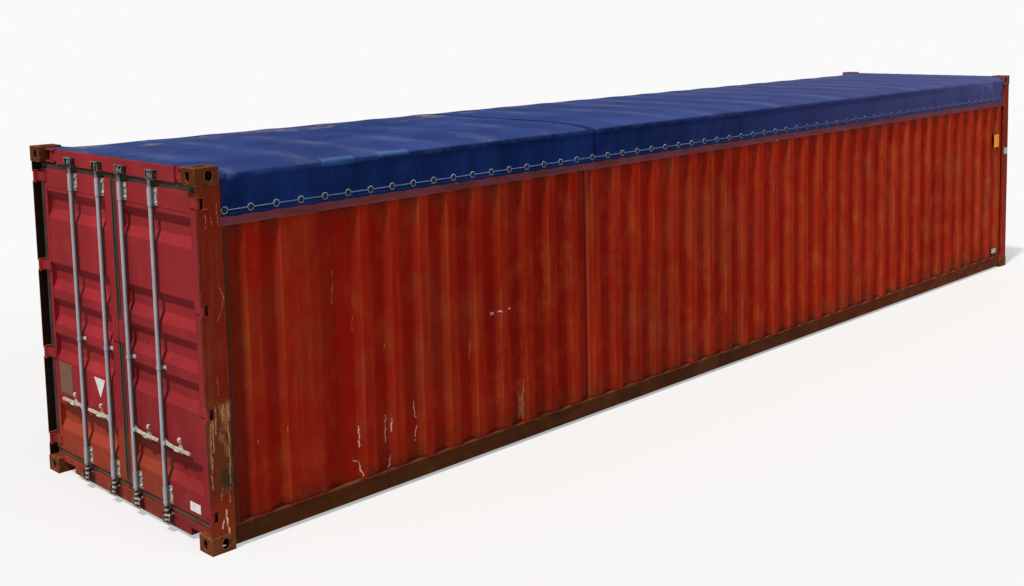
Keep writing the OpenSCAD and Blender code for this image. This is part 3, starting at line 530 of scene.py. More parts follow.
def post_finish(name, colours, rear=False):
    """Post paint with brown runs; the rear posts have painted shade with dirt inside and are scraped low
    down.
    """
    f = Finish(name)
    rust = tuple(colours.rust)
    rust_amount = old_paint(f, tuple(colours.post), shade(rust, 0.7), streak=0.5, rusty=0.6)
    runs = f.spots(0.5, 0.66, 1.0, 5.0, 0.66, stretch=(26.0, 26.0, 1.1), shift=(6.0, 1.0, 2.0))
    f.lay((0.15, 0.034, 0.011), runs, 0.6)
    bloom = f.times(f.spots(0.5, 0.66, 3.4, 6.0, 0.7, stretch=(1.0, 1.0, 0.55)),
                    f.spots(0.38, 0.6, 28.0, 4.0, 0.65))
    f.lay(shade(rust, 0.75), bloom, 0.5)
    rub = f.times(f.edges(0.01), f.spots(0.4, 0.58, 20.0, 4.0, 0.7))
    f.lay((0.3, 0.13, 0.05), rub, 0.8)
    if rear:
        rear_post_wear(f)
    else:
        f.tone((1.75, 1.7, 2.1), f.band(f.axes[2], 2.4, 0.3, 0.55, 1.0))
    f.bumps((f.noise(60.0, 5.0, 0.65), 0.4, 0.003), (rust_amount, 0.35, 0.002), round_edges=0.004)
    return f.done(f.ramp(rust_amount, 0.6, 0.9), gloss=0.04)


def casting_finish(name, colours):
    """Cast steel that has lost most of its paint, with painted shade inside its holes."""
    f = Finish(name)
    rust = tuple(colours.rust)
    base = toward(colours.post, rust, 0.7)
    rust_amount = old_paint(f, base, shade(rust, 0.85), streak=0.35, rusty=0.46)
    crust = f.spots(0.46, 0.64, 26.0, 6.0, 0.7)
    f.lay((0.045, 0.017, 0.005), crust, 0.65)
    rub = f.times(f.edges(0.012), f.spots(0.4, 0.58, 18.0, 4.0, 0.7))
    f.lay((0.42, 0.24, 0.1), rub, 0.9)
    x = f.sum_of("SUBTRACT", HALF_L, f.size(f.axes[0]))
    y = f.sum_of("SUBTRACT", HALF_W, f.size(f.axes[1]))
    z = f.sum_of("MINIMUM", f.axes[2], f.sum_of("SUBTRACT", BOX_H, f.axes[2]))
    # Painted shade: the insides of the holes are near black.
    hole_shade = f.times(*(f.times(f.band(depth, 0.007, 0.018),
                             f.band(depth, reach - 0.006, reach - 0.002, 1.0, 0.0))
                     for depth, reach in ((x, 0.178), (y, 0.162), (z, 0.118))))
    upper = f.band(f.axes[2], 1.0, 2.0)
    f.tone((0.66, 0.62, 0.5), upper)
    f.lay((0.22, 0.055, 0.05), upper, f.band(f.axes[0], 5.0, 5.5), 0.8)
    f.lay((0.006, 0.004, 0.003), hole_shade, 0.96)
    f.bumps((f.noise(75.0, 5.0, 0.7), 0.5, 0.003), (crust, 0.3, 0.003), round_edges=0.006)
    return f.done(f.ramp(rust_amount, 0.7, 0.92), gloss=0.04)


def rail_finish(name, colours):
    """Dark bottom rail with dried mud and a painted highlight, with some rubbed paint, along its upper edge.
    """
    f = Finish(name)
    rust_amount = old_paint(f, tuple(colours.rail), shade(colours.rust, 0.45), streak=0.25, rusty=0.52)
    mud = f.spots(0.48, 0.72, 1.0, 6.0, 0.68, stretch=(2.0, 6.0, 9.0))
    f.lay((0.085, 0.03, 0.009), mud, 0.5)
    # Painted highlight along the upper edge, with some rubbed paint.
    lip = f.times(f.band(f.axes[2], 0.149, 0.157), f.spots(0.36, 0.6, 12.0, 4.0, 0.65))
    f.lay((0.18, 0.06, 0.028), lip, 0.5)
    # Painted light: the rail is lightened towards the far end, where it is seen at a grazing angle.
    far_end_light = f.band(f.axes[0], -2.0, 6.5)
    f.tone((2.0, 1.5, 2.0), far_end_light)
    f.bumps((f.noise(40.0, 5.0, 0.65), 0.35, 0.003), round_edges=0.004)
    return f.done(f.ramp(rust_amount, 0.7, 0.9), gloss=0.04)


def top_rail_finish(name, colours):
    """Dusty, bleached top rail with small bare nicks."""
    f = Finish(name)
    base = tuple(colours.band)
    rust_amount = old_paint(f, base, shade(colours.rust, 0.6), streak=0.3, rusty=0.6)
    dust = f.spots(0.4, 0.66, 1.0, 5.0, 0.62, stretch=(2.5, 4.0, 14.0))
    f.lay(toward(base, (0.24, 0.08, 0.1), 0.5), dust, 0.45)
    nick = f.times(f.band(f.cells(9.0, stretch=(1.0, 1.0, 1.6)), 0.13, 0.08), f.spots(0.54, 0.62, 4.0))
    f.lay((0.55, 0.4, 0.36), nick, 0.8)
    # Painted light: the rail is lightened towards the far end, where it is seen at a grazing angle.
    far_end_light = f.band(f.axes[0], -3.0, 6.5)
    f.tone((1.3, 1.35, 1.7), far_end_light)
    f.bumps((f.noise(50.0, 4.0, 0.6), 0.25, 0.002), round_edges=0.004)
    return f.done(f.ramp(rust_amount, 0.6, 0.88), gloss=0.03)


def zinc_finish(name, base, metal=0.1, grimy=0.5):
    """Dull galvanised steel with spangle, grime and a few rust runs, as a finish still open."""
    f = Finish(name)
    spangle = f.add("ShaderNodeRGBToBW", {0: f.cells(75.0, output="Color")}).outputs[0]
    f.colour = f.over(f.band(spangle, 0.25, 0.75, 0.0, 0.35), base, shade(base, 0.8))
    grime = f.spots(0.46, 0.72, 6.0, 6.0, 0.68, stretch=(1.0, 1.0, 0.5))
    f.lay(shade(base, 0.45), grime, grimy)
    run = f.times(f.spots(0.55, 0.72, 1.0, 4.0, 0.62, stretch=(40.0, 40.0, 3.0)),
                  f.spots(0.5, 0.64, 2.2, 4.0, 0.6, shift=(5.0, 0.0, 2.0)))
    f.lay((0.14, 0.055, 0.028), run, 0.7)
    f.bumps((f.noise(170.0, 3.0, 0.6), 0.2, 0.001), round_edges=0.002)
    f.done(f.ramp(grime, 0.45, 0.7), metal=metal, gloss=0.25)
    return f


def bar_finish(name, colours):
    """Locking bars: grey zinc with painted shade on the side turned away from the door end, blackened upper
    ends and rings worn pale at the lower ones.
    """
    f = zinc_finish(name, tuple(colours.zinc), metal=0.2)
    # Painted shade on the side of the bar turned away from the door end.
    f.tone(SHADED_ZINC, f.band(f.facing[0], -0.9, 0.1))
    top = f.band(f.axes[2], 2.415, 2.43)
    f.lay((0.02, 0.015, 0.011), top, f.band(f.noise(24.0, 4.0, 0.6), 0.36, 0.6, 1.0, 0.55))
    rings = f.band(f.wave("Z", 9.0, warp=2.0), 0.45, 0.6)
    foot = f.band(f.axes[2], 0.2, 0.18)
    f.lay(f.over(rings, (0.02, 0.015, 0.012), (0.4, 0.38, 0.36)), foot)
    return f.coloured()


def guide_finish(name, colours):
    """Bar guides: grey sleeves, with painted shade on the side turned away from the door end, on paler
    bolted plates.
    """
    f = zinc_finish(name, tuple(colours.zinc), metal=0.2)
    # Painted shade on the side of each sleeve turned away from the door end.
    f.tone(SHADED_ZINC, f.band(f.facing[0], -0.9, 0.1))
    plate = f.band(f.axes[0], GUIDE_FACE_X - 0.004, GUIDE_FACE_X - 0.001)
    spots = f.spots(0.42, 0.58, 38.0, 4.0, 0.6)
    pale = f.over(f.times(spots, 0.75), tuple(colours.pale_zinc), (0.08, 0.05, 0.035))
    f.lay(pale, plate)
    return f.coloured()


def handle_finish(name, colours):
    """Handles and catches: bright zinc rubbed by hands, tan and grimy in places."""
    f = zinc_finish(name, tuple(colours.pale_zinc), metal=0.15, grimy=0.3)
    f.lay((0.12, 0.075, 0.045), f.spots(0.5, 0.62, 30.0, 5.0, 0.66), 0.7)
    return f.coloured()


def keeper_finish(name, colours):
    """Cam keepers: black with old grease, with painted highlights on their edges, partly bare steel."""
    f = Finish(name)
    grit = f.noise(30.0, 5.0, 0.68)
    f.colour = f.over(f.band(grit, 0.4, 0.64), (0.016, 0.012, 0.009), (0.09, 0.045, 0.026))
    low = f.times(f.band(f.axes[2], 1.5, 1.0), f.band(grit, 0.62, 0.42))
    f.lay(shade(colours.door, 0.45), low, 0.85)
    # Painted highlights on the edges, partly bare steel rubbed clean.
    rub = f.times(f.edges(0.009), f.spots(0.4, 0.54, 26.0, 4.0, 0.66))
    f.lay(tuple(colours.pale_zinc), rub, 0.9)
    f.bumps((grit, 0.4, 0.003), round_edges=0.003)
    return f.done(0.7, gloss=0.15)


def rubber_finish(name, colours, lip=False):
    """Dusty door seal, tan with dried mud low down; its lips are greyer."""
    f = Finish(name)
    f.colour = tuple(colours.rubber)
    dust = f.spots(0.4, 0.7, 8.0, 6.0, 0.66)
    f.lay((0.07, 0.062, 0.05) if lip else (0.1, 0.066, 0.048), dust, 0.5)
    low = f.times(f.band(f.axes[2], 0.3, 0.16), f.spots(0.25, 0.55, 5.0, 5.0, 0.6))
    f.lay((0.115, 0.056, 0.031), low, 0.9)
    f.bumps((f.noise(90.0, 4.0, 0.6), 0.3, 0.0015), round_edges=0.004)
    return f.done(f.ramp(dust, 0.6, 0.85), gloss=0.1)


def plywood_finish(name, colours):
    """Floor boards with joints, grain and wheel scuffs."""
    f = Finish(name)
    base = tuple(colours.plywood)
    grain = f.noise(1.0, 6.0, 0.68, stretch=(2.2, 34.0, 12.0), warp=0.4)
    f.colour = f.over(f.band(grain, 0.32, 0.7), shade(base, 0.62), toward(base, (0.5, 0.36, 0.22), 0.4))
    worn = f.spots(0.42, 0.68, 1.4, 6.0, 0.66, stretch=(0.6, 2.0, 1.0))
    f.lay((0.13, 0.1, 0.075), worn, 0.55)
    boards = {"Vector": f.stretched((1.0, 1.0, 1.0), (0.3, 0.0, 0.0)), "Scale": 1.0,
              "Brick Width": BOARD_LENGTH, "Row Height": BOARD_WIDTH, "Mortar Size": BOARD_GAP}
    joint = f.add("ShaderNodeTexBrick", boards, offset=0.5).outputs["Fac"]
    f.lay((0.02, 0.014, 0.01), joint, 0.85)
    f.bumps((f.ramp(joint, 1.0, 0.0), 0.6, 0.003), (grain, 0.25, 0.002))
    return f.done(f.ramp(worn, 0.55, 0.75), gloss=0.15)


def cloth_finish(name, colours, lighter=0.0):
    """Coated canvas: deep on the flaps, bleached, banded and stained on the roof, with painted sheen,
    highlights and shade.
    """
    f = Finish(name)
    side = toward(colours.cloth, (0.03, 0.09, 0.24), lighter)
    top = toward(colours.cloth_top, (0.07, 0.13, 0.26), lighter)
    cloud = f.noise(1.7, 6.0, 0.66, stretch=(1.0, 1.0, 0.6))
    f.colour = f.over(f.band(cloud, 0.35, 0.68), shade(side, 0.7), shade(side, 1.3))
    # Painted light: the flaps are lightened towards the far end, where they are seen at a grazing angle.
    f.lay((0.064, 0.066, 0.2), f.band(f.axes[0], -2.8, 6.2))
    streak = f.noise(1.0, 5.0, 0.66, stretch=(7.0, 7.0, 1.2))
    f.lay(shade(side, 0.5), f.band(streak, 0.5, 0.7), 0.3)
    f.lay(shade(toward(side, (0.02, 0.05, 0.2), 0.6), 1.1), f.band(streak, 0.46, 0.34), 0.2)
    # Painted highlights on the wrinkles of the crumpled cloth at the far end.
    crumple_highlight = f.zone(0.25, x=(5.2, HALF_L + 1.0), z=(2.3, 2.8))
    wrinkle = f.noise(1.0, 5.0, 0.7, stretch=(9.0, 9.0, 5.0), warp=0.8)
    f.lay((0.11, 0.135, 0.33), crumple_highlight, f.band(wrinkle, 0.4, 0.66), 0.7)
    flap = f.colour
    drift = f.noise(1.0, 6.0, 0.66, stretch=(0.9, 1.6, 1.0), shift=(2.0, 6.0, 0.0))
    f.colour = f.over(f.band(drift, 0.34, 0.66), shade(top, 0.8), shade(top, 1.18))
    # Painted light: the roof is lightened towards the far end, where it is seen at a grazing angle.
    f.lay((0.058, 0.064, 0.165), f.band(f.axes[0], -3.5, 6.0), 0.8)
    bow = f.from_nearest(BOW_PITCH, HALF_L - BOW_FIRST)
    patchy = f.noise(1.0, 6.0, 0.7, stretch=(2.2, 1.1, 1.0), shift=(3.0, 9.0, 0.0))
    f.lay(toward(top, (0.1, 0.115, 0.21), 0.8), f.band(bow, 0.3, 0.0), f.band(patchy, 0.42, 0.66), 0.6)
    f.lay(shade(top, 0.68), f.band(bow, 0.2, 0.5), f.band(patchy, 0.62, 0.4), 0.4)
    stain = f.spots(0.48, 0.7, 1.0, 6.0, 0.72, stretch=(1.6, 2.0, 1.0), shift=(8.0, 3.0, 0.0))
    soiled = f.most(f.zone(0.25, y=(0.8, 1.5)), f.zone(0.3, x=(-HALF_L - 1.0, -5.6), y=(-0.2, 1.3)))
    f.lay((0.11, 0.098, 0.105), stain, f.ramp(soiled, 0.05, 0.8))
    spilt = f.times(f.zone(0.2, x=(-5.9, -1.9), y=(0.55, 1.3)),
                    f.spots(0.52, 0.62, 2.6, 6.0, 0.74, shift=(1.0, 3.0, 0.0)))
    f.lay((0.2, 0.155, 0.11), spilt, 0.75)
    # Painted shadow: the cloth beside the lap seam is darkened, as the lap's shadow.
    lap = f.zone(0.012, 0.01, x=(-2.36, -2.262))
    f.lay(shade(side, 0.9), lap, 0.75)
    # The roof, facing up, takes the roof colour: bleached and dusty, and also lightened by painted sheen.
    up = f.band(f.facing[2], 0.3, 0.8)
    f.colour = f.over(up, flap, f.colour)
    # Painted shade along the top of the flaps, just under the roof edge.
    under = f.times(f.zone(0.03, 0.01, z=(2.47, 2.56)), f.zone(1.0, x=(-4.5, 4.0)), f.ramp(up, 0.7, 0.0))
    f.tone((0.5, 0.55, 0.6), under)
    edge = f.times(f.zone(0.006, 0.006, z=(2.505, 2.56)), f.ramp(up, 1.0, 0.0), f.band(streak, 0.4, 0.6))
    f.lay((0.05, 0.07, 0.19), edge, 0.25)
    # Painted highlights on the folds at the near front corner.
    fold = f.zone(0.02, 0.02, x=(-6.0, -5.79), y=(-1.3, -1.12), z=(2.5, 2.7))
    f.lay((0.085, 0.092, 0.22), fold, f.band(wrinkle, 0.4, 0.6), 0.75)
    # Painted shadow: a thin dark line along the edge of the lap seam.
    seam = f.zone(0.004, 0.003, x=(-2.268, -2.254))
    f.lay(shade(side, 0.2), seam, 0.8)
    f.bumps((f.noise(5.0, 4.0, 0.6), 0.3, 0.012), (f.wave("DIAGONAL", 90.0), 0.08, 0.0008))
    return f.done(f.band(cloud, 0.3, 0.7, 0.6, 0.75), gloss=0.0)


def rope_finish(name, pitch):
    """Plastic-sheathed closing rope with its lay, with painted shade where it passes the eyelets."""
    f = Finish(name)
    twist = f.wave("DIAGONAL", 60.0)
    f.colour = f.over(f.band(twist, 0.2, 0.8), (0.07, 0.1, 0.19), (0.19, 0.25, 0.38))
    grime = f.spots(0.45, 0.7, 3.0, 5.0, 0.6)
    f.lay((0.06, 0.08, 0.14), grime, 0.6)
    f.lay((0.07, 0.075, 0.18), f.band(f.axes[0], -1.5, 3.5, 0.0, 0.7))
    # Painted shade: the rope is darkened where it passes through each eyelet.
    eye = f.band(f.from_nearest(pitch, EYELET_X), 0.13, 0.1)
    f.lay((0.012, 0.014, 0.028), eye)
    f.bumps((twist, 0.4, 0.001))
    return f.done(f.ramp(grime, 0.55, 0.7), gloss=0.1)


def plate_finish(name, tint, wear, rough=0.5, metal=0.0, dull=None):
    """A blank plate, ring or painted patch with worn edges and grime, duller towards the front end."""
    f = Finish(name)
    f.colour = tint
    grime = f.spots(0.42, 0.72, 22.0, 5.0, 0.66)
    f.lay(wear, grime, 0.5)
    rub = f.times(f.edges(0.004), f.spots(0.35, 0.6, 60.0, 3.0, 0.6))
    f.lay(shade(wear, 0.6), rub, 0.6)
    if dull:
        f.lay(dull, f.band(f.axes[0], -1.5, 3.5, 0.0, 0.75))
    f.bumps((f.noise(120.0, 3.0, 0.6), 0.15, 0.001))
    return f.done(f.ramp(grime, rough, rough + 0.2), metal=metal, gloss=0.12)


def bead_finish(name, tint):
    """Weld bead with rippled, rusty paint."""
    f = Finish(name)
    f.colour = tint
    patch = f.spots(0.4, 0.66, 30.0, 5.0, 0.66)
    f.lay(toward(shade(tint, 0.6), (0.12, 0.045, 0.015), 0.6), patch)
    f.bumps((f.noise(220.0, 3.0, 0.6), 0.5, 0.002))
    return f.done(f.ramp(patch, 0.55, 0.85), gloss=0.04)


def linked(name, data):
    """A new object in the scene."""
    item = bpy.data.objects.new(name, data)
    bpy.context.scene.collection.objects.link(item)
    return item


def applied(holder, modifier):
    """Turns what a modifier makes into the object's plain mesh."""
    bpy.context.view_layer.update()
    deps = bpy.context.evaluated_depsgraph_get()
    made = bpy.data.meshes.new_from_object(holder.evaluated_get(deps), depsgraph=deps)
    holder.modifiers.remove(modifier)
    holder.data = made
    made.name = holder.name
    return holder


class Repeat(Nodes):
    """One Geometry Nodes tree that sets a shape on every given place."""

    def __init__(self, name, **sizes):
        super().__init__(bpy.data.node_groups.new(name, "GeometryNodeTree"))
        self.keys = {}
        self.socket("Places", "NodeSocketGeometry")
        for label, size in sizes.items():
            self.socket(label, "NodeSocketFloat").default_value = size
        self.socket("Finish", "NodeSocketMaterial")
        self.socket("Shape", "NodeSocketGeometry", "OUTPUT")
        self.source = self.add("NodeGroupInput").outputs

    def socket(self, label, kind, way="INPUT"):
        socket = self.tree.interface.new_socket(label, in_out=way, socket_type=kind)
        self.keys[label] = socket.identifier
        return socket

    def shape(self, kind, inputs, **settings):
        """Adds a geometry node and gives its first output."""
        return self.add("GeometryNode" + kind, inputs, **settings).outputs[0]

    def share(self, label, factor=0.5):
        """A named size times a factor."""
        return self.sum_of("MULTIPLY", self.source[label], factor)

    def moved(self, geometry, z):
        spot = self.add("ShaderNodeCombineXYZ", {"Z": z}).outputs[0]
        return self.shape("Transform", {"Geometry": geometry, "Translation": spot})

    def merged(self, *shapes):
        node = self.add("GeometryNodeJoinGeometry")
        for shape in shapes:
            self.feed(node.inputs[0], shape)
        return node.outputs[0]

    def tube(self, line, label, corners, capped=False):
        """A tube along a line, as thick as a named size."""
        section = self.shape("CurvePrimitiveCircle", {"Resolution": corners, "Radius": self.share(label)})
        return self.shape("CurveToMesh", {"Curve": line, "Profile Curve": section, "Fill Caps": capped})

    def set_on_places(self, shape):
        """Sets the shape on each place, turned along its stored facing."""
        facing = self.shape("InputNamedAttribute", {"Name": "facing"}, data_type="FLOAT_VECTOR")
        turn = self.add("FunctionNodeAlignRotationToVector", {"Vector": facing}, axis="Z").outputs[0]
        places = {"Points": self.source["Places"], "Instance": shape, "Rotation": turn}
        return self.close(self.shape("InstanceOnPoints", places))

    def close(self, shape):
        """Ends the tree with a real, finished shape."""
        real = self.shape("RealizeInstances", {0: shape})
        paint = self.shape("SetMaterial", {"Geometry": real, "Material": self.source["Finish"]})
        self.add("NodeGroupOutput", {0: paint})
        return self

    def run(self, name, mesh, finish, **sizes):
        """Runs the tree on a mesh and leaves a plain mesh object."""
        holder = linked(name, mesh)
        modifier = holder.modifiers.new("repeat", "NODES")
        modifier.node_group = self.tree
        modifier[self.keys["Finish"]] = finish
        for label, size in sizes.items():
            modifier[self.keys[label]] = size
        return applied(holder, modifier)


def places_mesh(name, places):
    """Loose points, each with the direction it faces."""
    mesh = bpy.data.meshes.new(name + "_places")
    mesh.from_pydata([tuple(p) for p, _ in places], [], [])
    facing = mesh.attributes.new("facing", "FLOAT_VECTOR", "POINT")
    facing.data.foreach_set("vector", [c for _, d in places for c in d])
    return mesh


def lines_mesh(name, lines):
    """Open lines of points, joined one after the other."""
    points, edges = [], []
    for line in lines:
        start = len(points)
        points.extend(tuple(p) for p in line)
        edges.extend((start + i, start + i + 1) for i in range(len(line) - 1))
    mesh = bpy.data.meshes.new(name + "_lines")
    mesh.from_pydata(points, edges, [])
    return mesh


def ring_tree():
    """Ring of an eyelet."""
    t = Repeat("eyelet_rings", Width=0.05, Thickness=0.006)
    loop = t.shape("CurvePrimitiveCircle", {"Resolution": 18, "Radius": t.share("Width")})
    return t.set_on_places(t.tube(loop, "Thickness", 6))


def disc_tree():
    """Small round dished disc, such as the dark eye of an eyelet or a stud."""
    t = Repeat("round_studs", Width=0.03, Height=0.003)
    low = t.share("Width")
    disc = t.shape("MeshCone", {"Vertices": 14, "Side Segments": 1, "Depth": t.source["Height"],
                                "Radius Bottom": low, "Radius Top": t.sum_of("MULTIPLY", low, 0.7)})
    return t.set_on_places(disc)


def bolt_tree():
    """Hexagon bolt head with its washer and thread end."""
    t = Repeat("hexagon_bolts", Width=0.02, Height=0.01)
    height = t.source["Height"]
    head = t.shape("MeshCylinder", {"Vertices": 6, "Radius": t.share("Width"), "Depth": height})
    washer = t.shape("MeshCylinder", {"Vertices": 14, "Radius": t.share("Width", 0.75), "Depth": 0.003})
    slim = t.share("Width", 0.27)
    thread = t.shape("MeshCone", {"Vertices": 10, "Side Segments": 1, "Depth": 0.005,
                                  "Radius Bottom": slim, "Radius Top": slim})
    return t.set_on_places(t.merged(t.moved(head, t.share("Height")), washer, t.moved(thread, height)))


def bead_tree():
    """Rippled weld bead that follows lines."""
    t = Repeat("weld_beads", Width=0.008, Ripple=0.003)
    line = t.shape("MeshToCurve", {0: t.source["Places"]})
    fine = t.shape("ResampleCurve", {"Curve": line, "Length": 0.03}, mode="LENGTH")
    bead = t.tube(fine, "Width", 5, capped=True)
    stir = t.add("ShaderNodeTexNoise", {"Scale": 45.0}, noise_dimensions="3D").outputs[1]
    push = t.vector("SCALE", t.vector("SUBTRACT", stir, (0.5, 0.5, 0.5)), t.source["Ripple"])
    return t.close(t.shape("SetPosition", {"Geometry": bead, "Offset": push}))


def placed(piece, body, smooth=True):
    """Sets a piece on its body, smoothly shaded unless told otherwise."""
    if smooth:
        piece.data.polygons.foreach_set("use_smooth", [True] * len(piece.data.polygons))
    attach(piece, body)
    return piece


def grid_mesh(name, rows):
    """A sheet of quads through rows of points; None marks a missing point."""
    points, index = [], {}
    for i, row in enumerate(rows):
        for j, point in enumerate(row):
            if point is not None:
                index[i, j] = len(points)
                points.append(tuple(point))
    faces = []
    for i in range(len(rows) - 1):
        for j in range(len(rows[i]) - 1):
            corners = [(i, j), (i + 1, j), (i + 1, j + 1), (i, j + 1)]
            if all(c in index for c in corners):
                faces.append([index[c] for c in corners])
    mesh = bpy.data.meshes.new(name)
    mesh.from_pydata(points, [], faces)
    mesh.update()
    return mesh


def thickened(name, rows, thickness, finish):
    """A sheet through rows of points with a thickness, as a plain mesh."""
    holder = linked(name, grid_mesh(name, rows))
    solid = holder.modifiers.new("thickness", "SOLIDIFY")
    solid.thickness = thickness
    solid.offset = 0.0
    applied(holder, solid)
    holder.data.materials.clear()
    holder.data.materials.append(finish)
    return holder


def bm_mesh(name, bm, finish):
    """Turns an edited mesh into a mesh with one finish."""
    mesh = bpy.data.meshes.new(name)
    bm.to_mesh(mesh)
    bm.free()
    mesh.materials.append(finish)
    return mesh


def ripple(x, y, seed):
    """Smooth waves from -1 to 1 that don't repeat over the box."""
    rng = np.random.default_rng(seed)
    total = 0.0
    for _ in range(6):
        kx, ky = rng.uniform(-1, 1, 2)
        total = total + np.sin(kx * x + ky * y + rng.uniform(0, 2 * math.pi))
    return total / 6


def soft_step(value, low, high):
    t = np.clip((value - low) / (high - low), 0.0, 1.0)
    return t * t * (3 - 2 * t)


def cloth_profile():
    """Half of the cloth's section as (y, z, flap share), from the crown to the hem."""
    roof = [(y, ROOF_CROWN - ROOF_FALL * (y / ROOF_HALF) ** ROOF_POWER, 0.0)
            for y in np.concatenate([np.linspace(0.0, 0.9, 16), np.linspace(0.93, SHOULDER_Y, 9)])]
    y0, z0, _ = roof[-1]
    y1, z1 = FLAP_Y, z0 - SHOULDER_DROP
    bend = []
    for t in np.linspace(0.0, 1.0, 7)[1:]:
        a, b, c = (1 - t) ** 2, 2 * t * (1 - t), t * t
        bend.append((a * y0 + b * y1 + c * y1, a * z0 + b * (z0 - 0.005) + c * z1, t))
    flap = [(FLAP_Y, z, 1.0) for z in np.linspace(z1, FLAP_Z, 15)[1:]]
    return roof + bend + flap


def cloth_point(x, y, z, share, sag, lift=0.0):
    """A point of the cloth at a station, with sag, folds and slack."""
    u = x + HALF_L
    bows = (u - BOW_FIRST) / BOW_PITCH
    gap = abs(bows - round(bows)) * BOW_PITCH
    slack = 1 - (1 - max(0.0, gap - BOW_FLAT) / (BOW_PITCH / 2 - BOW_FLAT)) ** 2
    corner = soft_step(abs(x), HALF_L - 0.75, HALF_L - 0.2) * soft_step(abs(y), 0.8, 1.1)
    if share <= 0.0:
        loose = slack if BOW_FIRST <= u <= 2 * HALF_L - BOW_FIRST else 0.0
        flat_part = 1 - soft_step(abs(y), 0.85, SHOULDER_Y)
        end = soft_step(abs(x), HALF_L - 0.285, HALF_L - 0.160)
        low = loose * sag * (0.25 + 0.75 * flat_part)
        low += 0.002 * (1 - ripple(x * 9, y * 7, 3)) * loose
        z = z - low
        z = z + (HEADER_CLOTH_Z - z) * end
        z += 0.007 * corner * max(0.0, ripple(x * 34, y * 30, 8)) * (1 - end)
        return (x, y, z + lift)
    hang = soft_step(z, ROPE_Z + 0.02, ROPE_Z + 0.12)
    out = (0.0025 + 0.0025 * ripple(x * 6, z * 9, 5)) * hang
    out += 0.0012 * (1 - slack) * hang
    out += 0.010 * corner * hang * max(0.0, ripple(x * 30, z * 34, 11))
    hem = 1 - soft_step(z, FLAP_Z, ROPE_Z - 0.005)
    out += 0.002 * hem * (1 + ripple(x * 22, z, 6))
    drop = 0.006 * hem * (math.cos((x + EYELET_X) / 0.2 * 2 * math.pi) - 1) / 2
    flap = min(1.0, share)
    return (x, y + math.copysign(1.0, y) * (out * flap + lift), z + drop + lift * (1 - flap))


def cloth_rows(xs, sag, lift=0.0, keep=None):
    """Rows of cloth points at the given stations, from the right hem to the left."""
    half = cloth_profile()
    section = [(-y, z, s) for y, z, s in half[::-1]] + half[1:]
    rows = []
    for x in xs:
        row = []
        for y, z, share in section:
            cut = abs(x) > FLAP_X + 1e-6 and abs(y) > CLOTH_END_Y
            missing = cut or (keep is not None and not keep(y, z, share))
            row.append(None if missing else cloth_point(x, y, z, share, sag, lift))
        rows.append(row)
    return rows


def wall_folds():
    """The folds of a side wall, as distances along the box and in from its side."""
    crests = [FIRST_CREST, SECOND_CREST]
    u = REGULAR_CREST
    while u + CREST_FLAT + WALL_SLOPE < WALL_ENDS[1]:
        crests.append((u, u + CREST_FLAT))
        u += CREST_PITCH
    folds = [(WALL_ENDS[0], WALL_RECESS_V)]
    for a, b in crests:
        folds += [(a - WALL_SLOPE, WALL_RECESS_V), (a, WALL_CREST_V),
                  (b, WALL_CREST_V), (b + WALL_SLOPE, WALL_RECESS_V)]
    return folds + [(WALL_ENDS[1], WALL_RECESS_V)]


def bevelled_slab(name, outline, thickness, finish, bevel):
    """A thin plate from an outline of points, thickened along a vector."""
    bm = bmesh.new()
    face = bm.faces.new([bm.verts.new(p) for p in outline])
    made = bmesh.ops.extrude_face_region(bm, geom=[face])
    moved = [g for g in made["geom"] if isinstance(g, bmesh.types.BMVert)]
    bmesh.ops.translate(bm, verts=moved, vec=Vector(thickness))
    bmesh.ops.recalc_face_normals(bm, faces=bm.faces)
    bmesh.ops.bevel(bm, geom=bm.edges[:], offset=bevel, segments=2, affect="EDGES", profile=0.5)
    return bm_mesh(name, bm, finish)


def paint_nodes(finish, *nodes):
    """Gives CAD nodes their finish."""
    for node in nodes:
        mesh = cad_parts[node].data
        mesh.materials.clear()
        mesh.materials.append(finish)


def tint_setting(label, words, value):
    return FloatVectorProperty(name=label, description=words, subtype="COLOR", size=3, min=0.0, max=1.0,
                               default=value)


def length_setting(label, words, value):
    return FloatProperty(name=label, description=words, default=value, unit="LENGTH")


class ContainerColours(bpy.types.PropertyGroup):
    """Colours of the container's finishes."""

    wall: tint_setting("Wall paint", "Red oxide paint of the walls", (0.252, 0.0082, 0.0027))
    door: tint_setting("Door paint", "Crimson paint of the doors and the door end", (0.262, 0.0205, 0.0245))
    post: tint_setting("Post paint", "Dark paint left on the posts", (0.17, 0.0105, 0.0035))
    rail: tint_setting("Bottom rail paint", "Dark worn paint of the bottom rails", (0.055, 0.0155, 0.0036))
    band: tint_setting("Top rail paint", "Bleached paint of the top rails", (0.142, 0.0335, 0.042))
    rust: tint_setting("Rust", "Rust where paint has gone", (0.19, 0.062, 0.02))
    zinc: tint_setting("Galvanised steel", "Dull zinc of the locking bars", (0.4, 0.405, 0.44))
    pale_zinc: tint_setting("Bright zinc", "Rubbed zinc of the handles and plates", (0.56, 0.52, 0.46))
    rubber: tint_setting("Rubber", "Rubber of the door seals", (0.03, 0.026, 0.022))
    plywood: tint_setting("Plywood", "Floor boards", (0.3, 0.18, 0.095))
    cloth: tint_setting("Cloth on the sides", "Canvas of the hanging flaps", (0.007, 0.0195, 0.094))
    cloth_top: tint_setting("Cloth on the roof", "Bleached canvas of the roof", (0.026, 0.044, 0.148))


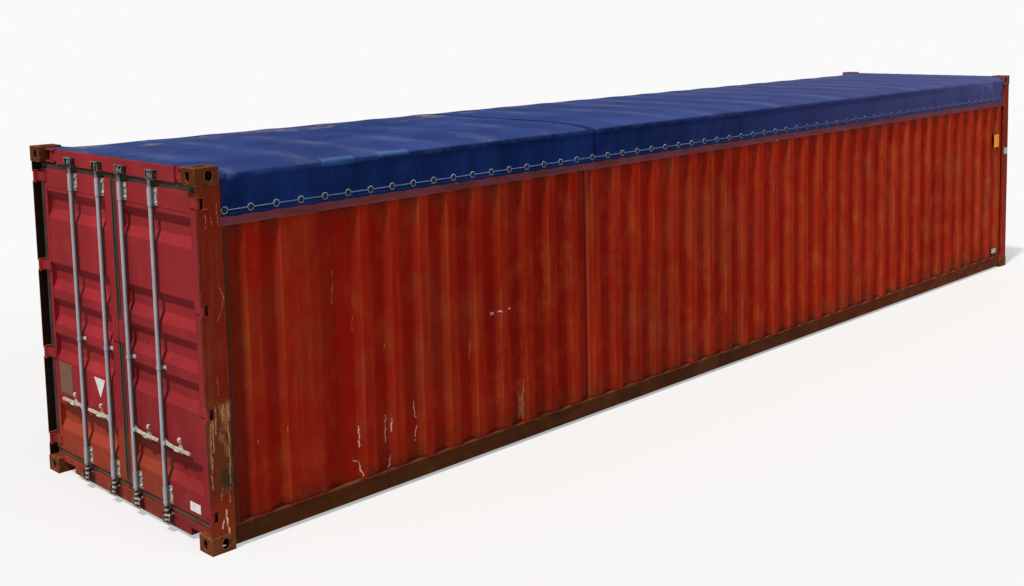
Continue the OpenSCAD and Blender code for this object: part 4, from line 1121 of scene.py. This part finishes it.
class ContainerSizes(bpy.types.PropertyGroup):
    """Sizes of the small fittings."""

    eyelet_pitch: length_setting("Eyelet pitch", "Distance between eyelets", 0.2)
    eyelet_width: length_setting("Eyelet width", "Width of an eyelet's ring", 0.046)
    eyelet_tube: length_setting("Eyelet thickness", "Thickness of an eyelet's ring", 0.005)
    cloth_thickness: length_setting("Cloth thickness", "Thickness of the canvas", 0.002)
    bow_sag: length_setting("Sag", "Sag of the cloth between two bows", 0.006)
    bead_width: length_setting("Weld width", "Width of a weld bead", 0.008)
    bolt_width: length_setting("Bolt width", "Width across a bolt head", 0.018)
    bolt_height: length_setting("Bolt height", "Height of a bolt head", 0.008)


class ContainerSettings(bpy.types.PropertyGroup):
    """Everything a user would change."""

    colours: PointerProperty(type=ContainerColours, name="Colours", description="Colours of the finishes")
    sizes: PointerProperty(type=ContainerSizes, name="Sizes", description="Sizes of the small fittings")


class CONTAINER_OT_stage(bpy.types.Operator):
    """Make the pale floor, the soft light and the camera"""

    bl_idname = "container.stage"
    bl_label = "Stage"

    def execute(self, context):
        context.scene.view_settings.view_transform = "Standard"
        self.camera(context.scene)
        self.floor()
        self.lights(context.scene)
        return {"FINISHED"}

    def camera(self, scene):
        wide, high = PHOTO_PIXELS
        camera = bpy.data.cameras.new("camera")
        camera.sensor_width = SENSOR
        camera.lens = LENS_PIXELS / wide * SENSOR
        camera.shift_x = (wide / 2 - CENTRE_PIXELS[0]) / wide
        camera.shift_y = (CENTRE_PIXELS[1] - high / 2) / wide
        camera.clip_end = 500.0
        eye = linked("camera", camera)
        eye.location = CAMERA_PLACE
        eye.rotation_euler = Euler([math.radians(a) for a in CAMERA_TURN])
        scene.camera = eye

    def floor(self):
        bm = bmesh.new()
        bmesh.ops.create_circle(bm, cap_ends=True, radius=FLOOR_RADIUS, segments=64)
        material = bpy.data.materials.new("pale_floor")
        material.use_nodes = True
        t = Nodes(material.node_tree)
        seen = t.add("ShaderNodeLightPath").outputs["Is Camera Ray"]
        tone = t.add("ShaderNodeMix", {0: seen, 6: FLOOR_BOUNCE, 7: FLOOR_SEEN}, data_type="RGBA")
        diffuse = t.add("ShaderNodeBsdfDiffuse", {"Color": tone.outputs[2]})
        glow = t.add("ShaderNodeEmission", {"Color": FLOOR_GLOW})
        place = t.add("ShaderNodeTexCoord").outputs["Object"]
        spread = t.add("ShaderNodeVectorMath", {0: place}, operation="LENGTH").outputs["Value"]
        fade = t.sum_of("MULTIPLY", t.band(spread, *GLOW_FADE), seen)
        mix = t.add("ShaderNodeMixShader", {0: fade, 1: diffuse.outputs[0], 2: glow.outputs[0]})
        t.add("ShaderNodeOutputMaterial", {0: mix.outputs[0]})
        linked("floor", bm_mesh("floor", bm, material))

    def lights(self, scene):
        world = bpy.data.worlds.new("studio")
        scene.world = world
        world.use_nodes = True
        t = Nodes(world.node_tree)
        light = t.add("ShaderNodeBackground", {"Color": SKY_TINT, "Strength": SKY_STRENGTH})
        backdrop = t.add("ShaderNodeBackground", {"Color": (1.0, 1.0, 1.0), "Strength": BACKDROP_STRENGTH})
        rays = t.add("ShaderNodeLightPath").outputs
        shown = rays["Is Camera Ray"]
        for label in ("Is Glossy Ray", "Is Transmission Ray"):
            shown = t.sum_of("MAXIMUM", shown, rays[label])
        mix = t.add("ShaderNodeMixShader", {0: shown, 1: light.outputs[0], 2: backdrop.outputs[0]})
        t.add("ShaderNodeOutputWorld", {0: mix.outputs[0]})
        for name, energy, width, tint, place in SUNS:
            sun = bpy.data.lights.new(name, "SUN")
            sun.energy = energy
            sun.angle = math.radians(width)
            sun.color = tint
            lamp = linked(name, sun)
            lamp.rotation_euler = Vector(place).normalized().to_track_quat("Z", "Y").to_euler()


class CONTAINER_OT_box_finish(bpy.types.Operator):
    """Paint the box: its posts, castings, rails, walls, floor and bows"""

    bl_idname = "container.box_finish"
    bl_label = "Box finishes"

    def execute(self, context):
        settings = context.scene.container
        colours = settings.colours
        paint_nodes(wall_finish("right_wall_paint", colours, marked=True), "right_side_wall")
        paint_nodes(wall_finish("left_wall_paint", colours), "left_side_wall")
        paint_nodes(wall_finish("front_wall_paint", colours, depth_axis=0), "front_wall")
        paint_nodes(post_finish("rear_post_rust", colours, rear=True), "rear_corner_posts")
        paint_nodes(post_finish("post_rust", colours), "front_corner_posts", "hinge_lugs")
        paint_nodes(casting_finish("casting_rust", colours), "bottom_corner_castings", "top_corner_castings")
        paint_nodes(rail_finish("bottom_rail_paint", colours), "bottom_side_rails", "cross_members")
        paint_nodes(top_rail_finish("top_rail_paint", colours), "top_side_rails")
        paint_nodes(plywood_finish("floor_plywood", colours), "floor")
        paint_nodes(zinc_finish("bow_zinc", tuple(colours.zinc)).material, "roof_bows")
        paint_nodes(rope_finish("closing_rope", settings.sizes.eyelet_pitch), "tarp_ropes")
        return {"FINISHED"}


class CONTAINER_OT_door_finish(bpy.types.Operator):
    """Paint the door end: doors, sill, header, seals and locking gear"""

    bl_idname = "container.door_finish"
    bl_label = "Door end finishes"

    def execute(self, context):
        colours = context.scene.container.colours
        paint = door_finish("door_paint", colours)
        bars = bar_finish("bar_zinc", colours)
        guides = guide_finish("guide_zinc", colours)
        handles = handle_finish("handle_zinc", colours)
        rubber = rubber_finish("seal_rubber", colours)
        paint_nodes(paint, "door_sill", "door_header", "header_lugs", "front_sill", "front_header")
        paint_nodes(keeper_finish("keeper_steel", colours), "cam_keepers")
        for side in SIDES:
            for piece in ("door_frame", "door_panel", "hinge_blades", "seam_plate"):
                paint_nodes(paint, f"{side}_{piece}")
            paint_nodes(rubber, side + "_door_gasket")
            paint_nodes(guides, side + "_bar_guides")
            paint_nodes(handles, side + "_handle_catches")
            for place in BAR_Y:
                paint_nodes(bars, f"{side}_{place}_bar")
                paint_nodes(handles, f"{side}_{place}_handle")
        return {"FINISHED"}


class CONTAINER_OT_tarpaulin(bpy.types.Operator):
    """Lay the roof cloth with its flaps, seam, patches, eyelets and hems"""

    bl_idname = "container.tarpaulin"
    bl_label = "Tarpaulin"

    def execute(self, context):
        settings = context.scene.container
        sizes = settings.sizes
        blue = cloth_finish("canvas_blue", settings.colours)
        stations = np.concatenate([np.linspace(-CLOTH_END_X, -FLAP_X, 6)[:-1],
                                   np.linspace(-FLAP_X, FLAP_X, 393),
                                   np.linspace(FLAP_X, CLOTH_END_X, 6)[1:]])
        cloth = thickened("roof_cloth", cloth_rows(stations, sizes.bow_sag), sizes.cloth_thickness, blue)
        placed(cloth, "box")
        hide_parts("tarpaulin", "tarp_flaps", "tarp_ends")
        extras = self.strips(settings) + self.eyelets(settings)
        return {"FINISHED"}

    def strips(self, settings):
        """Hems, the lap seam and the repair patches, each laid just over the cloth."""
        sag = settings.sizes.bow_sag
        dark = cloth_finish("canvas_hem", settings.colours)
        light = cloth_finish("canvas_patch", settings.colours, lighter=0.5)
        made = []
        for side, sign in SIDES.items():
            def at_hem(y, z, share, sign=sign):
                return share >= 1.0 and y * sign > 0 and z < HEM_Z
            rows = cloth_rows(np.linspace(-FLAP_X, FLAP_X, 296), sag, 0.0016, at_hem)
            made.append(("hem_" + side, rows, dark))
        made.append(("lap_seam", cloth_rows(np.linspace(*LAP_X, 5), sag, 0.0018), dark))
        for i, (x0, x1, low) in enumerate(REPAIRS, 1):
            def over_edge(y, z, share, low=low):
                return y < 0 and z > low and abs(y) > REPAIR_Y
            rows = cloth_rows(np.linspace(x0, x1, 13), sag, 0.0022, over_edge)
            made.append((f"repair_patch_{i}", rows, light))
        return [placed(thickened(name, rows, STRIP_THICKNESS, finish), "box")
                for name, rows, finish in made]

    def eyelets(self, settings):
        """Rings along the flaps and the ends, each with a dark disc of painted shade in its eye."""
        sizes = settings.sizes
        ring, disc = ring_tree(), disc_tree()
        steel = plate_finish("eyelet_steel", (0.33, 0.38, 0.42), (0.16, 0.18, 0.2), 0.5,
                             dull=(0.08, 0.085, 0.19))
        black = plate_finish("end_eyelet_steel", (0.035, 0.035, 0.04), (0.12, 0.1, 0.09), 0.5)
        # Painted shade: a dark disc fills the eye of each eyelet.
        shadow = plate_finish("eyelet_eye", (0.01, 0.013, 0.028), (0.02, 0.022, 0.04), 0.7,
                              dull=(0.026, 0.028, 0.075))
        count = int((2 * FLAP_X - 0.04) / sizes.eyelet_pitch)
        side_places = [((-EYELET_X + i * sizes.eyelet_pitch, sign * EYELET_Y, ROPE_Z), (0, sign, 0))
                       for sign in SIDES.values() for i in range(count)]
        end_places = [((end * (CLOTH_END_X - 0.03), END_EYELET_FIRST + i * END_EYELET_PITCH,
                        HEADER_CLOTH_Z + 0.002), (0, 0, 1))
                      for end in (-1, 1) for i in range(END_EYELET_COUNT)]
        pieces = []
        for name, places, width, metal in (("flap_eyelets", side_places, sizes.eyelet_width, steel),
                                           ("end_eyelets", end_places, sizes.eyelet_width * 0.7, black)):
            mesh = places_mesh(name, places)
            pieces.append(ring.run(name, mesh.copy(), metal, Width=width, Thickness=sizes.eyelet_tube))
            pieces.append(disc.run(name + "_eyes", mesh, shadow, Width=width - 0.004, Height=0.0014))
        return [placed(p, "box") for p in pieces]


class CONTAINER_OT_welds(bpy.types.Operator):
    """Run weld beads along the joints of the box and the doors"""

    bl_idname = "container.welds"
    bl_label = "Weld beads"

    def execute(self, context):
        settings = context.scene.container
        colours, width = settings.colours, settings.sizes.bead_width
        red = bead_finish("wall_weld", shade(colours.wall, 0.85))
        brown = bead_finish("post_weld", shade(colours.post, 1.1))
        crimson = bead_finish("door_weld", shade(colours.door, 0.9))
        welds = [("wall_welds", self.wall_lines(), red, width, 0.002, "box", "box_paint"),
                 ("post_welds", self.post_lines(), brown, width, 0.003, "box", "post_paint")]
        for side, sign in SIDES.items():
            body = side + "_door"
            for part, lines, thick in (("hinge", self.hinge_lines(sign), 0.006),
                                       ("panel", self.panel_lines(sign), 0.0035)):
                welds.append((f"{side}_{part}_welds", lines, crimson, thick, 0.0015, body, "door_paint"))
        bead = bead_tree()
        for name, lines, finish, thick, rippled, body, slot in welds:
            piece = bead.run(name, lines_mesh(name, lines), finish, Width=thick, Ripple=rippled)
            placed(piece, body)
        return {"FINISHED"}

    def wall_lines(self):
        folds = wall_folds()
        lines = []
        for sign in SIDES.values():
            for z in (WALL_Z[0] + 0.001, WALL_Z[1] - 0.001):
                lines.append([(-HALF_L + u, sign * (HALF_W - v), z) for u, v in folds])
            for u in WALL_JOINTS_U:
                y = sign * (HALF_W - np.interp(u, *zip(*folds)))
                lines.append([(-HALF_L + u, y, z) for z in WALL_Z])
        return lines

    def post_lines(self):
        lines = []
        for sign in SIDES.values():
            y = sign * (HALF_W - CASTING_WELD_V)
            for z in CASTING_WELD_Z:
                lines.append([(-HALF_L + u, y, z) for u in REAR_POST_U])
                lines.append([(HALF_L - u, y, z) for u in FRONT_POST_U])
            y = sign * (HALF_W - POST_WELD_V)
            for x in (-HALF_L + REAR_POST_BACK_U, HALF_L - FRONT_POST_U[1]):
                lines.append([(x, y, z) for z in POST_WELD_Z])
        return lines

    def hinge_lines(self, sign):
        x = LEAF_X - 0.001
        end_y = sign * (HALF_W - HINGE_END_WELD_V)
        lines = []
        for z in HINGE_Z:
            for edge in HINGE_WELD_Z:
                lines.append([(x, sign * (HALF_W - v), z + edge) for v in HINGE_WELD_V])
            lines.append([(x, end_y, z + edge) for edge in HINGE_END_WELD_Z])
        return lines

    def panel_lines(self, sign):
        x = LEAF_X + 0.001
        ys = [sign * (HALF_W - v) for v in PANEL_WELD_V]
        upright = [[(x, y, z) for z in PANEL_WELD_Z] for y in ys]
        return upright + [[(x, y, z) for y in ys] for z in PANEL_WELD_Z]


class CONTAINER_OT_bolts(bpy.types.Operator):
    """Bolt the bar guides and rivet the catches to the doors"""

    bl_idname = "container.bolts"
    bl_label = "Bolts and rivets"

    def execute(self, context):
        settings = context.scene.container
        wide, high = settings.sizes.bolt_width, settings.sizes.bolt_height
        bolt, stud = bolt_tree(), disc_tree()
        zinc = handle_finish("bolt_zinc", settings.colours)
        out = (-1, 0, 0)
        rows = [(GUIDE_FACE_X, z) for z0, z1 in END_GUIDE_Z
                for z in (z0 + GUIDE_BOLT_END, z1 - GUIDE_BOLT_END)]
        rows.append((MID_GUIDE_FACE_X, sum(MID_GUIDE_Z) / 2))
        for side, sign in SIDES.items():
            bolts, rivets = [], []
            for place in BAR_Y.values():
                bolts += [((x, sign * place + dy, z), out) for x, z in rows for dy in GUIDE_BOLT_Y]
                catch_y = sign * (place + CATCH_R)
                rivets += [((CATCH_FACE_X - 0.0015, catch_y + dy, HANDLE_Z + dz), out)
                           for dy, dz in CATCH_RIVETS]
            for name, tree, places, width, height in (("guide_bolts", bolt, bolts, wide, high),
                                                      ("catch_rivets", stud, rivets, wide * 0.9, 0.003)):
                name = f"{side}_{name}"
                piece = tree.run(name, places_mesh(name, places), zinc, Width=width, Height=height)
                placed(piece, side + "_door", smooth=False)
        return {"FINISHED"}


class CONTAINER_OT_seal_lips(bpy.types.Operator):
    """Lay the rubber lips along the upright edges of the doors"""

    bl_idname = "container.seal_lips"
    bl_label = "Seal lips"

    def execute(self, context):
        rubber = rubber_finish("lip_rubber", context.scene.container.colours, lip=True)
        low, high = LEAF_Z[0] + LIP_END, LEAF_Z[1] - LIP_END
        beside_plate = ((low, SEAM_PLATE_Z[0] - LIP_END), (SEAM_PLATE_Z[1] + LIP_END, high))
        ends = [low] + [z + d for z in HINGE_Z for d in (-HINGE_CLEAR, HINGE_CLEAR)] + [high]
        between_hinges = list(zip(ends[::2], ends[1::2]))
        for side, sign in SIDES.items():
            seam, wide = ((0.005, 0.036), 0.018) if sign < 0 else ((0.005, 0.020), 0.041)
            outer = (HALF_W - LIP_OUTER_V - wide, HALF_W - LIP_OUTER_V)
            spans = [(*seam, *z) for z in beside_plate] + [(*outer, *z) for z in between_hinges]
            name = side + "_seal_lips"
            lips = linked(name, self.lips(name, sign, spans, rubber))
            placed(lips, side + "_door", smooth=False)
        return {"FINISHED"}

    def lips(self, name, sign, spans, rubber):
        bm = bmesh.new()
        for a, b, z0, z1 in spans:
            lip = bmesh.ops.create_cube(bm, size=1.0)["verts"]
            bmesh.ops.scale(bm, vec=(0.004, b - a, z1 - z0), verts=lip)
            bmesh.ops.translate(bm, vec=(LEAF_X - 0.0019, sign * (a + b) / 2, (z0 + z1) / 2), verts=lip)
        bmesh.ops.bevel(bm, geom=bm.edges[:], offset=0.0012, segments=2, affect="EDGES", profile=0.5)
        return bm_mesh(name, bm, rubber)


class CONTAINER_OT_plates(bpy.types.Operator):
    """Fix the blank plates and painted patches"""

    bl_idname = "container.plates"
    bl_label = "Blank plates"

    def execute(self, context):
        grey = plate_finish("plate_grey", (0.16, 0.088, 0.052), (0.11, 0.06, 0.038), 0.55)
        white = plate_finish("plate_white", (0.72, 0.7, 0.69), (0.4, 0.25, 0.22), 0.5)
        orange = plate_finish("patch_orange", (0.95, 0.34, 0.01), (0.7, 0.2, 0.01), 0.5)
        green = plate_finish("patch_green", (0.3, 0.55, 0.42), (0.2, 0.3, 0.22), 0.5)
        panel, leaf = PANEL_X + 0.0005, LEAF_X + 0.0005
        left_plate = self.on_door(panel, 0.829, 1.034, 0.66, 0.905)
        triangle = [(panel, 0.37, 0.745), (panel, 0.457, 0.892), (panel, 0.283, 0.892)]
        right_plate = self.on_door(leaf, -1.009, -0.874, 0.217, 0.282)
        for side, name, outline, thickness, finish, bevel in (
                ("left", "plate", left_plate, 0.0025, grey, 0.0008),
                ("left", "triangle", triangle, 0.0012, white, 0.0004),
                ("right", "plate", right_plate, 0.002, white, 0.0008)):
            name = f"{side}_door_{name}"
            mesh = bevelled_slab(name, outline, (-thickness, 0, 0), finish, bevel)
            placed(linked(name, mesh), side + "_door", smooth=False)
        wall, post = -HALF_W + WALL_CREST_V, -HALF_W + 0.004
        for name, x0, x1, z0, z1, y, finish in (
                ("side_patch_orange", 5.688, 5.828, 1.651, 1.821, wall, orange),
                ("post_patch_green", 5.978, 6.086, 1.535, 1.621, post, green),
                ("low_patch_green", 5.67, 5.80, 0.221, 0.281, wall, green)):
            outline = [(x0, y, z0), (x1, y, z0), (x1, y, z1), (x0, y, z1)]
            mesh = bevelled_slab(name, outline, (0, -0.0015, 0), finish, 0.0005)
            placed(linked(name, mesh), "box", smooth=False)
        return {"FINISHED"}

    def on_door(self, x, y0, y1, z0, z1):
        return [(x, y0, z0), (x, y1, z0), (x, y1, z1), (x, y0, z1)]


class CONTAINER_OT_floor_screws(bpy.types.Operator):
    """Set the screw heads in the floor over the cross members"""

    bl_idname = "container.floor_screws"
    bl_label = "Floor screws"

    def execute(self, context):
        low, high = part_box("floor")
        places = []
        x = low.x + 0.15
        while x < high.x - 0.05:
            for i in range(SCREWS_ACROSS):
                y = low.y + 0.06 + i * (high.y - low.y - 0.12) / (SCREWS_ACROSS - 1)
                places.append(((x, y, high.z), (0, 0, 1)))
            x += SCREW_ROWS
        steel = plate_finish("screw_steel", (0.16, 0.14, 0.12), (0.1, 0.05, 0.03), 0.5, 0.5)
        mesh = places_mesh("floor_screws", places)
        piece = disc_tree().run("floor_screws", mesh, steel, Width=0.016, Height=0.0012)
        placed(piece, "box")
        return {"FINISHED"}


class CONTAINER_PT_panel(bpy.types.Panel):
    """Shows what a user would change and the buttons of the steps that build the container"""

    bl_idname = "CONTAINER_PT_panel"
    bl_label = "Container"
    bl_space_type = "VIEW_3D"
    bl_region_type = "UI"
    bl_category = "Container"

    def draw(self, context):
        settings = context.scene.container
        for group in (settings.colours, settings.sizes):
            box = self.layout.box()
            for name in group.__annotations__:
                box.prop(group, name)
        for operator in OPERATORS:
            self.layout.operator(operator.bl_idname)


OPERATORS = (CONTAINER_OT_stage, CONTAINER_OT_box_finish, CONTAINER_OT_door_finish, CONTAINER_OT_tarpaulin,
             CONTAINER_OT_welds, CONTAINER_OT_bolts, CONTAINER_OT_seal_lips, CONTAINER_OT_plates,
             CONTAINER_OT_floor_screws)
CLASSES = (ContainerColours, ContainerSizes, ContainerSettings, *OPERATORS, CONTAINER_PT_panel)


def register():
    for cls in CLASSES:
        bpy.utils.register_class(cls)
    bpy.types.Scene.container = PointerProperty(type=ContainerSettings)


def unregister():
    del bpy.types.Scene.container
    for cls in reversed(CLASSES):
        bpy.utils.unregister_class(cls)


def main():
    register()
    for operator in OPERATORS:
        group, name = operator.bl_idname.split(".")
        getattr(getattr(bpy.ops, group), name)()


if __name__ == "__main__":
    main()
